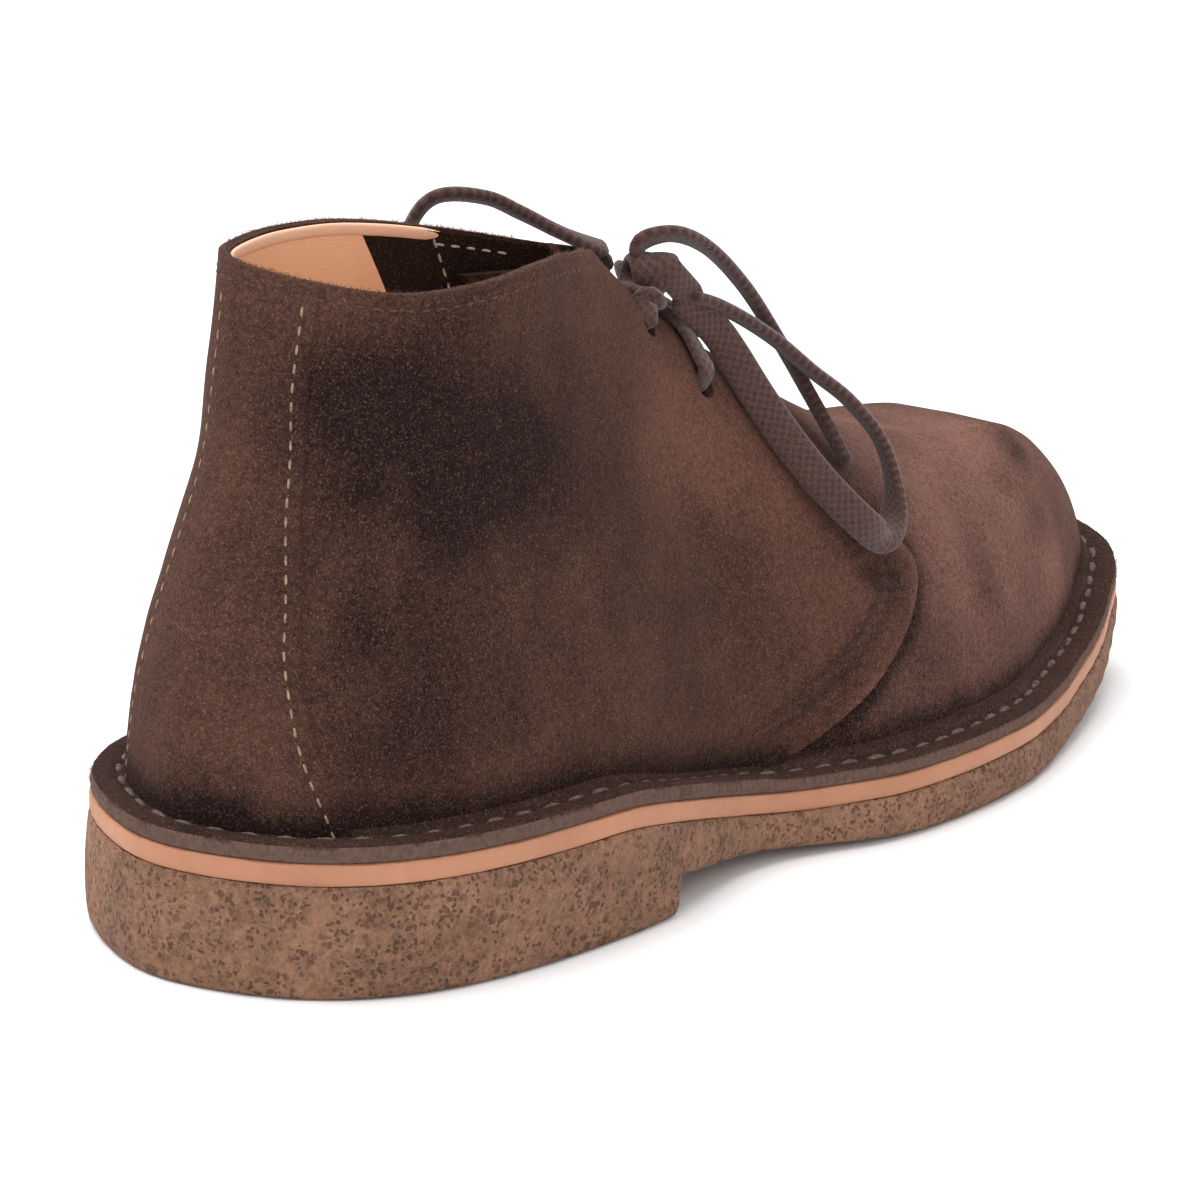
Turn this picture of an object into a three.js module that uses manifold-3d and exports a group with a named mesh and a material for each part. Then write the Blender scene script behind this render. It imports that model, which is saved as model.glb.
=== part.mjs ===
// A right ankle boot with a crepe sole, in millimetres.
// +X is the lateral side, +Y runs from heel to toe, +Z is up from the floor.
import * as THREE from 'three';
import { mergeVertices } from 'three/addons/utils/BufferGeometryUtils.js';
import Module from 'manifold-3d';

const wasm = await Module();
wasm.setup();

// Driving sizes of the sole
const soleLength = 300;
const ballWidth = 107;
const heelThickness = 20.9;
const foreThickness = 9.4;
const heelBreast = 89;
const breastRadius = 4;
const archHeight = 7;
const archEnd = 182;
const archFall = 2.2;
const toeSpring = 15.3;
const springStart = 204;
const midsoleThickness = 3.8;
const seatGap = 0.3;

// Driving sizes of the upper
const collarHeight = 126;
const instepHeight = 104;
const flangeWidth = 7.2;
const flangeThickness = 2.7;
const flangeInset = 0.5;
const wall = 1.8;
const quarterStep = 0.9;
const rearStep = 0.8;
const holeRadius = 2.2;
const holeSides = 10;

// Driving sizes of what lies inside
const insoleThickness = 2.6;
const insoleGap = 0.4;
const tongueThickness = 2;
const tongueGap = 0.35;
const tongueDepth = 24;
const tongueCover = 10;

// Driving sizes of the lace
const laceThickness = 2.6;
const laceBarWidth = 4;
const laceCordRadius = 2;
const knotLength = 12;
const knotRadius = 4.2;
const laceGap = 0.6;

// Where one form eases into the next, as shares of the sole length
const waistSpan = { from: 0.23, to: 0.455 };
const counterSpan = { from: 0.05, to: 0.30 };
const ankleSpan = { from: 0.38, to: 0.62 };
const tongueSpan = { from: 0.30, to: 0.66 };

// Heights as shares of the collar height, and how far cuts run past the sole's ends
const lastTop = 1.09;
const tongueTop = 0.90;
const overrun = 0.05 * soleLength;

// Sole outline: lateral and medial edge at each share of the length, as shares of the ball width
const outlineRows = [
  { along: 0.022, lateral: 0.198, medial: 0.188 },
  { along: 0.061, lateral: 0.323, medial: 0.312 },
  { along: 0.128, lateral: 0.412, medial: 0.380 },
  { along: 0.275, lateral: 0.458, medial: 0.372 },
  { along: 0.405, lateral: 0.415, medial: 0.313 },
  { along: 0.527, lateral: 0.514, medial: 0.387 },
  { along: 0.667, lateral: 0.514, medial: 0.486 },
  { along: 0.780, lateral: 0.434, medial: 0.474 },
  { along: 0.888, lateral: 0.325, medial: 0.407 },
  { along: 0.969, lateral: 0.192, medial: 0.256 },
];
const heelTip = { along: 0, lateral: 0 };
const toeTip = { along: 1, lateral: -0.028 };

// Ridge of the upper: toe, vamp, instep and the line carried on above the collar.
// Along is a share of the sole length and up a share of the instep height.
const ridgeRows = [
  { along: 0.9600, up: 0.363 },
  { along: 0.9450, up: 0.439 },
  { along: 0.9200, up: 0.515 },
  { along: 0.8850, up: 0.572 },
  { along: 0.8400, up: 0.609 },
  { along: 0.7800, up: 0.630 },
  { along: 0.7000, up: 0.652 },
  { along: 0.6300, up: 0.693 },
  { along: 0.5600, up: 0.775 },
  { along: 0.4900, up: 0.887 },
  { along: 0.4300, up: 0.981 },
  { along: 0.3800, up: 1.082 },
  { along: 0.3467, up: 1.163 },
  { along: 0.3133, up: 1.250 },
  { along: 0.2800, up: 1.345 },
  { along: 0.2570, up: 1.502 },
  { along: 0.2330, up: 1.745 },
  { along: 0.2000, up: 2.423 },
  { along: 0.1670, up: 3.877 },
  { along: 0.1000, up: 7.269 },
];

// Back of the upper: how far in from the back of the feather line, as a share of the length
const backRows = [
  { up: 0.20, inward: 0 },
  { up: 0.34, inward: 0 },
  { up: 0.44, inward: 0.005 },
  { up: 0.52, inward: 0.015 },
  { up: 0.60, inward: 0.027 },
  { up: 0.68, inward: 0.037 },
  { up: 0.80, inward: 0.048 },
  { up: 1.00, inward: 0.060 },
  { up: 1.10, inward: 0.062 },
];

// Width of the heel and ankle at each height, as a share of the width at the feather line
const ankleRows = [
  { up: 0.20, lateral: 1.00, medial: 1.00 },
  { up: 0.33, lateral: 0.96, medial: 0.96 },
  { up: 0.45, lateral: 0.88, medial: 0.88 },
  { up: 0.52, lateral: 0.82, medial: 0.82 },
  { up: 0.68, lateral: 0.74, medial: 0.74 },
  { up: 0.80, lateral: 0.72, medial: 0.70 },
  { up: 1.00, lateral: 0.71, medial: 0.67 },
  { up: 1.10, lateral: 0.71, medial: 0.67 },
];

// Fullness of the cross-section, from square shoulders at the toe to a ridge at the instep
const sectionRows = [
  { along: 0.20, lateral: 2.6, medial: 2.6 },
  { along: 0.40, lateral: 2.0, medial: 2.1 },
  { along: 0.60, lateral: 1.7, medial: 2.0 },
  { along: 0.80, lateral: 2.1, medial: 2.3 },
  { along: 1.00, lateral: 2.4, medial: 2.4 },
];

// Collar line seen from the side
const collarRows = [
  { along: -0.02, lateral: 0.995, medial: 0.995 },
  { along: 0.05, lateral: 0.984, medial: 0.993 },
  { along: 0.09, lateral: 0.953, medial: 0.984 },
  { along: 0.13, lateral: 0.941, medial: 0.980 },
  { along: 0.18, lateral: 0.951, medial: 0.984 },
  { along: 0.23, lateral: 0.958, medial: 0.984 },
  { along: 0.29, lateral: 0.944, medial: 0.966 },
  { along: 0.37, lateral: 0.920, medial: 0.922 },
];

// Edges of the facings seen from above, measured from the middle line, and the opening of the
// vamp that they lie over: shares of the sole length and the ball width
const facingRows = [
  { along: 0.300, lateral: 0.045, medial: 0.036 },
  { along: 0.400, lateral: 0.048, medial: 0.037 },
  { along: 0.435, lateral: 0.065, medial: 0.047 },
  { along: 0.465, lateral: 0.120, medial: 0.083 },
  { along: 0.483, lateral: 0.215, medial: 0.145 },
  { along: 0.503, lateral: 0.289, medial: 0.193 },
  { along: 0.530, lateral: 0.333, medial: 0.227 },
  { along: 0.556, lateral: 0.342, medial: 0.243 },
  { along: 0.600, lateral: 0.350, medial: 0.260 },
];
const vampRows = [
  { along: 0.300, lateral: 0.035, medial: 0.026 },
  { along: 0.400, lateral: 0.037, medial: 0.027 },
  { along: 0.435, lateral: 0.048, medial: 0.036 },
  { along: 0.470, lateral: 0.070, medial: 0.055 },
  { along: 0.500, lateral: 0.072, medial: 0.058 },
  { along: 0.520, lateral: 0.048, medial: 0.038 },
  { along: 0.528, lateral: 0.012, medial: 0.010 },
];

// Places of the punched lace holes in the side view
const holeRows = [
  { along: 0.403, up: 0.790 },
  { along: 0.448, up: 0.687 },
];

// Front edge of the quarter over the vamp, from the throat down to the sole
const quarterRows = [
  { along: 0.556, up: 0.443 },
  { along: 0.583, up: 0.428 },
  { along: 0.590, up: 0.388 },
  { along: 0.568, up: 0.325 },
  { along: 0.527, up: 0.250 },
  { along: 0.475, up: 0.175 },
  { along: 0.410, up: 0.100 },
];

// Both edges of the rear panel seen from behind, as shares of the ball width
const rearRows = [
  { up: 1.20, lateral: 0.120, medial: 0.100 },
  { up: 0.95, lateral: 0.115, medial: 0.095 },
  { up: 0.75, lateral: 0.115, medial: 0.095 },
  { up: 0.53, lateral: 0.160, medial: 0.130 },
  { up: 0.35, lateral: 0.215, medial: 0.175 },
  { up: 0.20, lateral: 0.270, medial: 0.225 },
  { up: 0.05, lateral: 0.300, medial: 0.250 },
];

// Middle of the knot, and the routes of the lace's free parts: across, along and up
const knotPlace = [4, 129.5, 109.4];
const laceRoutes = {
  lace_end_lateral: [
    [4, 130, 116.2], [6, 134, 116.6], [8, 143.3, 113.5], [11, 152.3, 105.4], [15, 161, 92.7],
    [20, 165.4, 82], [26.5, 166.5, 72.8], [29.5, 166, 69],
  ],
  lace_end_medial: [
    [-4.5, 134.5, 107.9], [-9, 142, 102], [-16, 150, 92], [-22, 158, 84], [-27, 166, 75], [-30, 173, 66],
  ],
  lace_loop_lateral: [
    [9, 136, 104.5], [12, 143.9, 102], [17, 154.1, 95.6], [22, 162.4, 88], [27, 168.3, 82.1],
    [32, 173, 74], [35.5, 173.3, 65.6], [37.5, 170.5, 59.5], [39.5, 164.3, 57.2], [39, 158, 60.9],
    [34, 151.9, 68.4], [28, 148, 76.4], [21.5, 145, 85.5], [16, 143, 93.5], [13.5, 141.6, 97.3],
  ],
  lace_loop_medial: [
    [-2, 126, 113], [-8.5, 119.8, 116.4], [-15, 114.7, 120.2], [-19, 109.4, 123.1],
    [-24, 100.3, 123.7], [-28.5, 99, 119], [-30, 98, 111], [-28.5, 101, 104], [-25.5, 107, 103],
    [-23, 113.5, 107.5], [-20, 118.5, 111.5], [-13, 122.8, 111.8], [-3.8, 130, 109.5],
  ],
};

// Counts of facets
const outlineSteps = 96;
const profileSteps = 30;
const outerAround = 30;
const outerLevels = 24;
const innerAround = 22;
const innerLevels = 16;
const collarSteps = 14;
const facingSteps = 20;
const quarterSteps = 16;
const rearSteps = 12;
const breastSteps = 4;
const archSteps = 8;
const tongueSteps = 12;
const barSteps = 16;
const laceSides = 8;
const laceStep = 7;
const ridgeSteps = 200;

const far = soleLength;

// Steps smoothly from 0 to 1 while value runs from low to high
function ease(value, low, high) {
  const t = Math.min(1, Math.max(0, (value - low) / (high - low)));
  return t * t * (3 - 2 * t);
}

// Reads a column of a table at a given key, with a smooth curve through its rows
function readTable(rows, key, column, value) {
  const forward = rows[rows.length - 1][key] > rows[0][key];
  const list = forward ? rows : [...rows].reverse();
  const last = list.length - 1;
  if (value <= list[0][key]) return list[0][column];
  if (value >= list[last][key]) return list[last][column];
  let i = 0;
  while (list[i + 1][key] < value) i += 1;
  const slope = (a, b) => (list[b][column] - list[a][column]) / (list[b][key] - list[a][key]);
  const tangent = (k) => {
    if (k === 0) return slope(0, 1);
    if (k === last) return slope(last - 1, last);
    const before = slope(k - 1, k);
    const after = slope(k, k + 1);
    return before * after <= 0 ? 0 : (2 * before * after) / (before + after);
  };
  const span = list[i + 1][key] - list[i][key];
  const t = (value - list[i][key]) / span;
  const h0 = (1 + 2 * t) * (1 - t) ** 2;
  const h1 = t * (1 - t) ** 2;
  const h2 = t * t * (3 - 2 * t);
  const h3 = t * t * (t - 1);
  return h0 * list[i][column] + h1 * span * tangent(i)
    + h2 * list[i + 1][column] + h3 * span * tangent(i + 1);
}

// Turns side-view rows into points, smoothed by a spline
function sideCurve(rows, steps) {
  const points = rows.map((row) => new THREE.Vector2(row.along * soleLength, row.up * collarHeight));
  return new THREE.SplineCurve(points).getPoints(steps);
}

// Closed outline of the sole seen from above, lateral side first, from heel to toe and back
function soleOutline() {
  const point = (across, along) => new THREE.Vector3(across * ballWidth, along * soleLength, 0);
  const lateral = outlineRows.map((row) => point(row.lateral, row.along));
  const medial = outlineRows.map((row) => point(-row.medial, row.along)).reverse();
  const ring = [
    point(heelTip.lateral, heelTip.along), ...lateral,
    point(toeTip.lateral, toeTip.along), ...medial,
  ];
  const curve = new THREE.CatmullRomCurve3(ring, true, 'centripetal');
  return curve.getSpacedPoints(outlineSteps).slice(0, -1).map((p) => new THREE.Vector2(p.x, p.y));
}

// Moves a closed ring of plan points inwards by a distance
function insetOutline(ring, distance) {
  const count = ring.length;
  return ring.map((p, i) => {
    const before = ring[(i + count - 1) % count];
    const after = ring[(i + 1) % count];
    const along = new THREE.Vector2().subVectors(after, before).normalize();
    return new THREE.Vector2(p.x - along.y * distance, p.y + along.x * distance);
  });
}

// Rise of the toe, top of the crepe, top of the midsole and the seat of the upper
function springAt(y) {
  return toeSpring * Math.max(0, (y - springStart) / (soleLength - springStart)) ** 2;
}

function crepeTop(y) {
  const drop = (heelThickness - foreThickness) * ease(y / soleLength, waistSpan.from, waistSpan.to);
  return heelThickness - drop + springAt(y);
}

function midsoleTop(y) {
  return crepeTop(y) + seatGap + midsoleThickness;
}

function seatHeight(y) {
  return midsoleTop(y) + seatGap;
}

const outline = soleOutline();
const feather = insetOutline(outline, flangeWidth + wall + quarterStep);
const featherBack = Math.min(...feather.map((p) => p.y));
const featherFront = Math.max(...feather.map((p) => p.y));

// Makes a reader of an outline: the lateral or medial edge at a place along the foot
function edgeReader(ring, side) {
  const lowest = ring.reduce((a, p, i) => (p.y < ring[a].y ? i : a), 0);
  const highest = ring.reduce((a, p, i) => (p.y > ring[a].y ? i : a), 0);
  const count = ring.length;
  const chain = [];
  const step = side > 0 ? 1 : count - 1;
  for (let i = lowest; i !== highest; i = (i + step) % count) chain.push(ring[i]);
  chain.push(ring[highest]);
  return (y) => {
    const clamped = Math.min(chain[chain.length - 1].y, Math.max(chain[0].y, y));
    let k = 0;
    while (k < chain.length - 2 && chain[k + 1].y < clamped) k += 1;
    const from = chain[k];
    const to = chain[k + 1];
    const t = to.y === from.y ? 0 : (clamped - from.y) / (to.y - from.y);
    return from.x + (to.x - from.x) * t;
  };
}

const lateralEdge = edgeReader(feather, 1);
const medialEdge = edgeReader(feather, -1);

// Height of the ridge above a place along the foot
function ridgeHeight(y) {
  const tipRow = ridgeRows[0];
  const tipY = tipRow.along * soleLength;
  const tipUp = tipRow.up * instepHeight;
  if (y <= tipY) return readTable(ridgeRows, 'along', 'up', y / soleLength) * instepHeight;
  const seat = seatHeight(featherFront);
  const t = Math.min(1, (y - tipY) / (featherFront - tipY));
  return seat + (tipUp - seat) * Math.sqrt(1 - t * t);
}

// Back of the last at a height
function backAt(z) {
  return featherBack + readTable(backRows, 'up', 'inward', z / collarHeight) * soleLength;
}

// Middle line of the last: it follows the outline low down and straightens over the ankle
function middleAt(y) {
  const low = (lateralEdge(featherBack) + medialEdge(featherBack)) / 2;
  const toe = (lateralEdge(featherFront) + medialEdge(featherFront)) / 2;
  return low + (toe - low) * ease(y, featherBack, featherFront);
}

// Edge of the last on one side, seen from the front, at a place along the foot and a height
function lastEdge(y, z, side) {
  const column = side > 0 ? 'lateral' : 'medial';
  const edge = side > 0 ? lateralEdge : medialEdge;
  const seat = seatHeight(y);
  const up = Math.max(z, seat) / collarHeight;
  const heelFade = 1 - ease(y / soleLength, counterSpan.from, counterSpan.to);
  const shifted = y - (backAt(z) - featherBack) * heelFade;
  const middle = middleAt(y);
  const atFeather = edge(Math.max(featherBack, shifted)) - middle;
  const narrow = readTable(ankleRows, 'up', column, up);
  const narrowFade = 1 - ease(y / soleLength, ankleSpan.from, ankleSpan.to);
  const height = Math.max(0, Math.min(1, (z - seat) / (ridgeHeight(y) - seat)));
  const power = readTable(sectionRows, 'along', column, y / soleLength);
  const round = Math.sqrt(Math.max(0, 1 - height ** power));
  return middle + atFeather * (1 + (narrow - 1) * narrowFade) * round;
}

// The ridge as a path in the side view, from the toe up to the cap of the last
function ridgePath() {
  const capHeight = lastTop * collarHeight;
  const path = [new THREE.Vector2(featherFront, seatHeight(featherFront))];
  for (let i = 1; i <= ridgeSteps; i += 1) {
    const y = featherFront * (1 - (i / ridgeSteps) ** 2);
    const z = ridgeHeight(y);
    path.push(new THREE.Vector2(y, Math.min(z, capHeight)));
    if (z > capHeight) break;
  }
  return path;
}

// One ring of the last: a line in the side view from its back to its ridge, and both edges on it
function lastRing(level, around) {
  const ridge = ridgePath();
  const tip = { y: ridge[0].x, z: ridge[0].y };
  const capHeight = ridge[ridge.length - 1].y;
  const lengths = [0];
  for (let i = 1; i < ridge.length; i += 1) {
    lengths.push(lengths[i - 1] + ridge[i].distanceTo(ridge[i - 1]));
  }
  const goal = level * lengths[lengths.length - 1];
  let k = 0;
  while (k < lengths.length - 2 && lengths[k + 1] < goal) k += 1;
  const share = (goal - lengths[k]) / (lengths[k + 1] - lengths[k]);
  const met = ridge[k].clone().lerp(ridge[k + 1], share);
  const front = { y: met.x, z: met.y };
  const backSeat = seatHeight(featherBack);
  const backZ = backSeat + (capHeight - backSeat) * level;
  const back = { y: backAt(backZ), z: backZ };
  const seatPull = (1 - level) ** 3;
  const spine = [];
  for (let i = 0; i <= around; i += 1) {
    const s = (1 - Math.cos((Math.PI * i) / around)) / 2;
    const y = back.y + (front.y - back.y) * s;
    const straight = back.z + (front.z - back.z) * s;
    const seatLine = backSeat + (tip.z - backSeat) * s;
    const z = straight + (seatHeight(y) - seatLine) * seatPull;
    spine.push({ y, z });
  }
  const end = spine.length - 1;
  const lateral = spine.map((p) => new THREE.Vector3(lastEdge(p.y, p.z, 1), p.y, p.z));
  const medial = spine.map((p) => new THREE.Vector3(lastEdge(p.y, p.z, -1), p.y, p.z));
  for (const i of [0, end]) {
    const x = i === 0 ? middleAt(spine[0].y) : middleAt(spine[end].y);
    lateral[i].x = x;
    medial[i].x = x;
  }
  return [...lateral, ...medial.slice(1, -1).reverse()];
}

// Filled body of the last grown outwards by a thickness, carried down through the seat
function lastBody(thickness, around, levels) {
  const rings = [];
  for (let k = 0; k <= levels; k += 1) rings.push(lastRing(k / levels, around));
  const count = rings[0].length;
  const grown = rings.map((ring, k) => ring.map((p, i) => {
    const across = new THREE.Vector3().subVectors(ring[(i + 1) % count], ring[(i + count - 1) % count]);
    const above = rings[Math.min(levels, k + 1)][i];
    const below = rings[Math.max(0, k - 1)][i];
    const rise = new THREE.Vector3().subVectors(above, below);
    const normal = across.cross(rise).normalize();
    if (k === 0) normal.setZ(0).normalize();
    return p.clone().addScaledVector(normal, thickness);
  }));
  const skirtDepth = seatHeight(0);
  const skirt = grown[0].map((p) => new THREE.Vector3(p.x, p.y, p.z - skirtDepth));
  const all = [skirt, ...grown];
  const positions = all.flat().flatMap((p) => [p.x, p.y, p.z]);
  const index = [];
  const at = (k, i) => k * count + ((i + count) % count);
  for (let k = 0; k < all.length - 1; k += 1) {
    for (let i = 0; i < count; i += 1) {
      index.push(at(k, i), at(k, i + 1), at(k + 1, i + 1), at(k, i), at(k + 1, i + 1), at(k + 1, i));
    }
  }
  const top = all.length - 1;
  for (let i = 0; i < around; i += 1) {
    const quads = [[0, at(0, i), at(0, -i), at(0, i + 1), at(0, -i - 1)],
      [1, at(top, i), at(top, -i), at(top, i + 1), at(top, -i - 1)]];
    for (const [isTop, a, b, c, d] of quads) {
      if (a !== b) index.push(...(isTop ? [a, c, b] : [a, b, c]));
      if (c !== d) index.push(...(isTop ? [b, c, d] : [b, d, c]));
    }
  }
  const geometry = new THREE.BufferGeometry();
  geometry.setAttribute('position', new THREE.Float32BufferAttribute(positions, 3));
  geometry.setIndex(index);
  return toSolid(geometry);
}

// Turns a three.js geometry into a solid that can be cut, and back
function toSolid(geometry) {
  geometry.deleteAttribute('normal');
  geometry.deleteAttribute('uv');
  const merged = mergeVertices(geometry, 1e-4);
  const solid = new wasm.Manifold(new wasm.Mesh({
    numProp: 3,
    vertProperties: new Float32Array(merged.attributes.position.array),
    triVerts: new Uint32Array(merged.index.array),
  }));
  return solid;
}

function toGeometry(solid) {
  const mesh = solid.getMesh();
  const geometry = new THREE.BufferGeometry();
  geometry.setAttribute('position', new THREE.BufferAttribute(new Float32Array(mesh.vertProperties), 3));
  geometry.setIndex(new THREE.BufferAttribute(new Uint32Array(mesh.triVerts), 1));
  return geometry;
}

// A side-view outline carried right across the boot, with its points moved by an adjustment
function acrossSolid(points, adjust = null) {
  const shape = new THREE.Shape(points.map((p) => new THREE.Vector2(p.x, p.y)));
  const geometry = new THREE.ExtrudeGeometry(shape, { depth: 2 * ballWidth, bevelEnabled: false });
  geometry.applyMatrix4(new THREE.Matrix4().makeBasis(
    new THREE.Vector3(0, 1, 0), new THREE.Vector3(0, 0, 1), new THREE.Vector3(1, 0, 0),
  ));
  geometry.translate(-ballWidth, 0, 0);
  if (adjust) {
    const place = geometry.attributes.position;
    for (let i = 0; i < place.count; i += 1) {
      const point = new THREE.Vector3().fromBufferAttribute(place, i);
      adjust(point);
      place.setXYZ(i, point.x, point.y, point.z);
    }
  }
  return toSolid(geometry);
}

// A plan outline carried straight up from below the floor
function upSolid(ring) {
  const shape = new THREE.Shape(ring);
  const geometry = new THREE.ExtrudeGeometry(shape, { depth: 2 * collarHeight, bevelEnabled: false });
  geometry.translate(0, 0, -collarHeight);
  return toSolid(geometry);
}

// Places along the foot where the sole's layers have a facet edge
function stations() {
  const list = [-overrun];
  for (let i = 0; i <= profileSteps; i += 1) list.push((i / profileSteps) * soleLength);
  list.push(soleLength + overrun);
  return list;
}

// A layer between two heights that follow the foot
function layerSolid(lower, upper) {
  const bottom = stations().map((y) => new THREE.Vector2(y, lower(y)));
  const top = stations().map((y) => new THREE.Vector2(y, upper(y))).reverse();
  return acrossSolid([...bottom, ...top]);
}

function outsoleUnder() {
  const points = [new THREE.Vector2(-overrun, 0), new THREE.Vector2(heelBreast, 0)];
  const corner = new THREE.Vector2(heelBreast + breastRadius, archHeight - breastRadius);
  for (let i = 0; i <= breastSteps; i += 1) {
    const angle = Math.PI - (Math.PI / 2) * (i / breastSteps);
    points.push(new THREE.Vector2(
      corner.x + breastRadius * Math.cos(angle), corner.y + breastRadius * Math.sin(angle),
    ));
  }
  const archStart = heelBreast + breastRadius;
  for (let i = 1; i <= archSteps; i += 1) {
    const t = i / archSteps;
    points.push(new THREE.Vector2(archStart + (archEnd - archStart) * t, archHeight * (1 - t) ** archFall));
  }
  for (const y of stations().filter((place) => place > springStart - 1)) {
    points.push(new THREE.Vector2(y, springAt(y)));
  }
  return points;
}

function makeOutsole() {
  const under = outsoleUnder();
  const top = stations().map((y) => new THREE.Vector2(y, crepeTop(y))).reverse();
  return acrossSolid([...under, ...top]).intersect(upSolid(outline));
}

function makeMidsole() {
  const layer = layerSolid((y) => crepeTop(y) + seatGap, midsoleTop);
  return layer.intersect(upSolid(insetOutline(outline, flangeInset / 2)));
}

function makeInsole() {
  const layer = layerSolid(seatHeight, (y) => seatHeight(y) + insoleThickness);
  return layer.intersect(lastBody(-insoleGap, innerAround, innerLevels));
}

// Everything above the seat and below the collar line, which is lower on the lateral side
function trimSolid() {
  const ankleWidth = 0.56 * ballWidth;
  const column = (name) => collarRows.map((row) => ({ along: row.along, up: row[name] }));
  const lateral = sideCurve(column('lateral'), collarSteps);
  const medial = sideCurve(column('medial'), collarSteps);
  const collar = lateral.map((p, i) => new THREE.Vector2(p.x, (p.y + medial[i].y) / 2)).reverse();
  const edges = lateral.map((p, i) => ({ along: p.x, tilt: (p.y - medial[i].y) / ankleWidth }));
  const seat = stations().map((y) => new THREE.Vector2(y, seatHeight(y)));
  const front = new THREE.Vector2(soleLength + overrun, collar[0].y);
  const back = new THREE.Vector2(-overrun, collar[collar.length - 1].y);
  return acrossSolid([...seat, front, ...collar, back], (point) => {
    const tilt = readTable(edges, 'along', 'tilt', point.y);
    if (point.z > collarHeight / 2) point.z += tilt * point.x;
  });
}

// A slot seen from above: rows of its half widths to both sides of the middle line
function slotSolid(rows) {
  const edge = (column, sign) => new THREE.SplineCurve(rows.map((row) => (
    new THREE.Vector2(sign * row[column] * ballWidth, row.along * soleLength)))).getPoints(facingSteps);
  const ring = [...edge('lateral', 1), ...edge('medial', -1).reverse()];
  return upSolid(ring.map((p) => new THREE.Vector2(p.x + middleAt(p.y), p.y)));
}

// Everything behind the front edge of the quarter
function quarterZone() {
  const edge = sideCurve(quarterRows, quarterSteps);
  const last = edge[edge.length - 1];
  return acrossSolid([
    new THREE.Vector2(-overrun, 0), new THREE.Vector2(-overrun, 2 * collarHeight),
    new THREE.Vector2(edge[0].x, 2 * collarHeight), ...edge,
    new THREE.Vector2(last.x, 0),
  ].reverse());
}

// The rear panel's outline seen from behind, carried forward over the heel
function rearZone() {
  const edge = (column, sign) => new THREE.SplineCurve(rearRows.map((row) => (
    new THREE.Vector2(sign * row[column] * ballWidth, row.up * collarHeight)))).getPoints(rearSteps);
  const shape = new THREE.Shape([...edge('lateral', 1).reverse(), ...edge('medial', -1)]);
  const geometry = new THREE.ExtrudeGeometry(shape, { depth: heelBreast + overrun, bevelEnabled: false });
  geometry.rotateX(Math.PI / 2);
  geometry.translate(0, heelBreast, 0);
  return toSolid(geometry);
}

// A point of the last on one side, and the direction straight out of it
function lastPoint(y, z, side) {
  return new THREE.Vector3(lastEdge(y, z, side), y, z);
}

function lastNormal(y, z, side) {
  const reach = 1;
  const along = lastPoint(y + reach, z, side).sub(lastPoint(y - reach, z, side));
  const rise = lastPoint(y, z + reach, side).sub(lastPoint(y, z - reach, side));
  return along.cross(rise).normalize().multiplyScalar(side);
}

// A round hole punched straight through the upper
function laceHole(row, side) {
  const y = row.along * soleLength;
  const z = row.up * collarHeight;
  const normal = lastNormal(y, z, side);
  const depth = 4 * wall;
  const geometry = new THREE.CylinderGeometry(holeRadius, holeRadius, 2 * depth, holeSides);
  geometry.applyQuaternion(new THREE.Quaternion().setFromUnitVectors(new THREE.Vector3(0, 1, 0), normal));
  geometry.translate(...lastPoint(y, z, side));
  return toSolid(geometry);
}

function makeUpper() {
  const vamp = lastBody(wall, outerAround, outerLevels);
  const quarter = lastBody(wall + quarterStep, outerAround, outerLevels)
    .intersect(quarterZone()).subtract(slotSolid(facingRows));
  const rear = lastBody(wall + quarterStep + rearStep, outerAround, outerLevels).intersect(rearZone());
  const flange = layerSolid(seatHeight, (y) => seatHeight(y) + flangeThickness)
    .intersect(upSolid(insetOutline(outline, flangeInset)));
  const cavity = lastBody(0, innerAround, innerLevels);
  const walls = vamp.add(quarter).add(rear).intersect(trimSolid()).add(flange).subtract(cavity);
  const cuts = [slotSolid(vampRows)];
  for (const row of holeRows) cuts.push(laceHole(row, 1), laceHole(row, -1));
  return cuts.reduce((solid, cut) => solid.subtract(cut), walls);
}

function makeTongue() {
  const outer = lastBody(-tongueGap, innerAround, innerLevels);
  const inner = lastBody(-tongueGap - tongueThickness, innerAround, innerLevels);
  const ridge = [];
  for (let i = 0; i <= tongueSteps; i += 1) {
    const y = (tongueSpan.to - (tongueSpan.to - tongueSpan.from) * (i / tongueSteps)) * soleLength;
    ridge.push(new THREE.Vector2(y, ridgeHeight(y)));
  }
  const under = ridge.map((p, i) => {
    const before = ridge[Math.max(0, i - 1)];
    const after = ridge[Math.min(ridge.length - 1, i + 1)];
    const along = new THREE.Vector2().subVectors(after, before).normalize();
    return new THREE.Vector2(p.x + along.y * -tongueDepth, p.y + along.x * tongueDepth);
  });
  const over = ridge.map((p) => new THREE.Vector2(p.x + tongueCover, p.y + tongueCover));
  const zone = acrossSolid([...under, ...over.reverse()]);
  const height = acrossSolid([
    new THREE.Vector2(-far, 0), new THREE.Vector2(far, 0),
    new THREE.Vector2(far, tongueTop * collarHeight), new THREE.Vector2(-far, tongueTop * collarHeight),
  ]);
  return outer.subtract(inner).intersect(zone).intersect(height);
}

// A tube with a rounded section along a smooth path
function tubeSolid(points, width, thickness, steps) {
  const section = [];
  for (let i = 0; i < laceSides; i += 1) {
    const angle = (2 * Math.PI * (i + 0.5)) / laceSides;
    section.push(new THREE.Vector2((width / 2) * Math.cos(angle), (thickness / 2) * Math.sin(angle)));
  }
  const path = new THREE.CatmullRomCurve3(points, false, 'centripetal');
  return toSolid(new THREE.ExtrudeGeometry(new THREE.Shape(section), { steps, extrudePath: path }));
}

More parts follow.
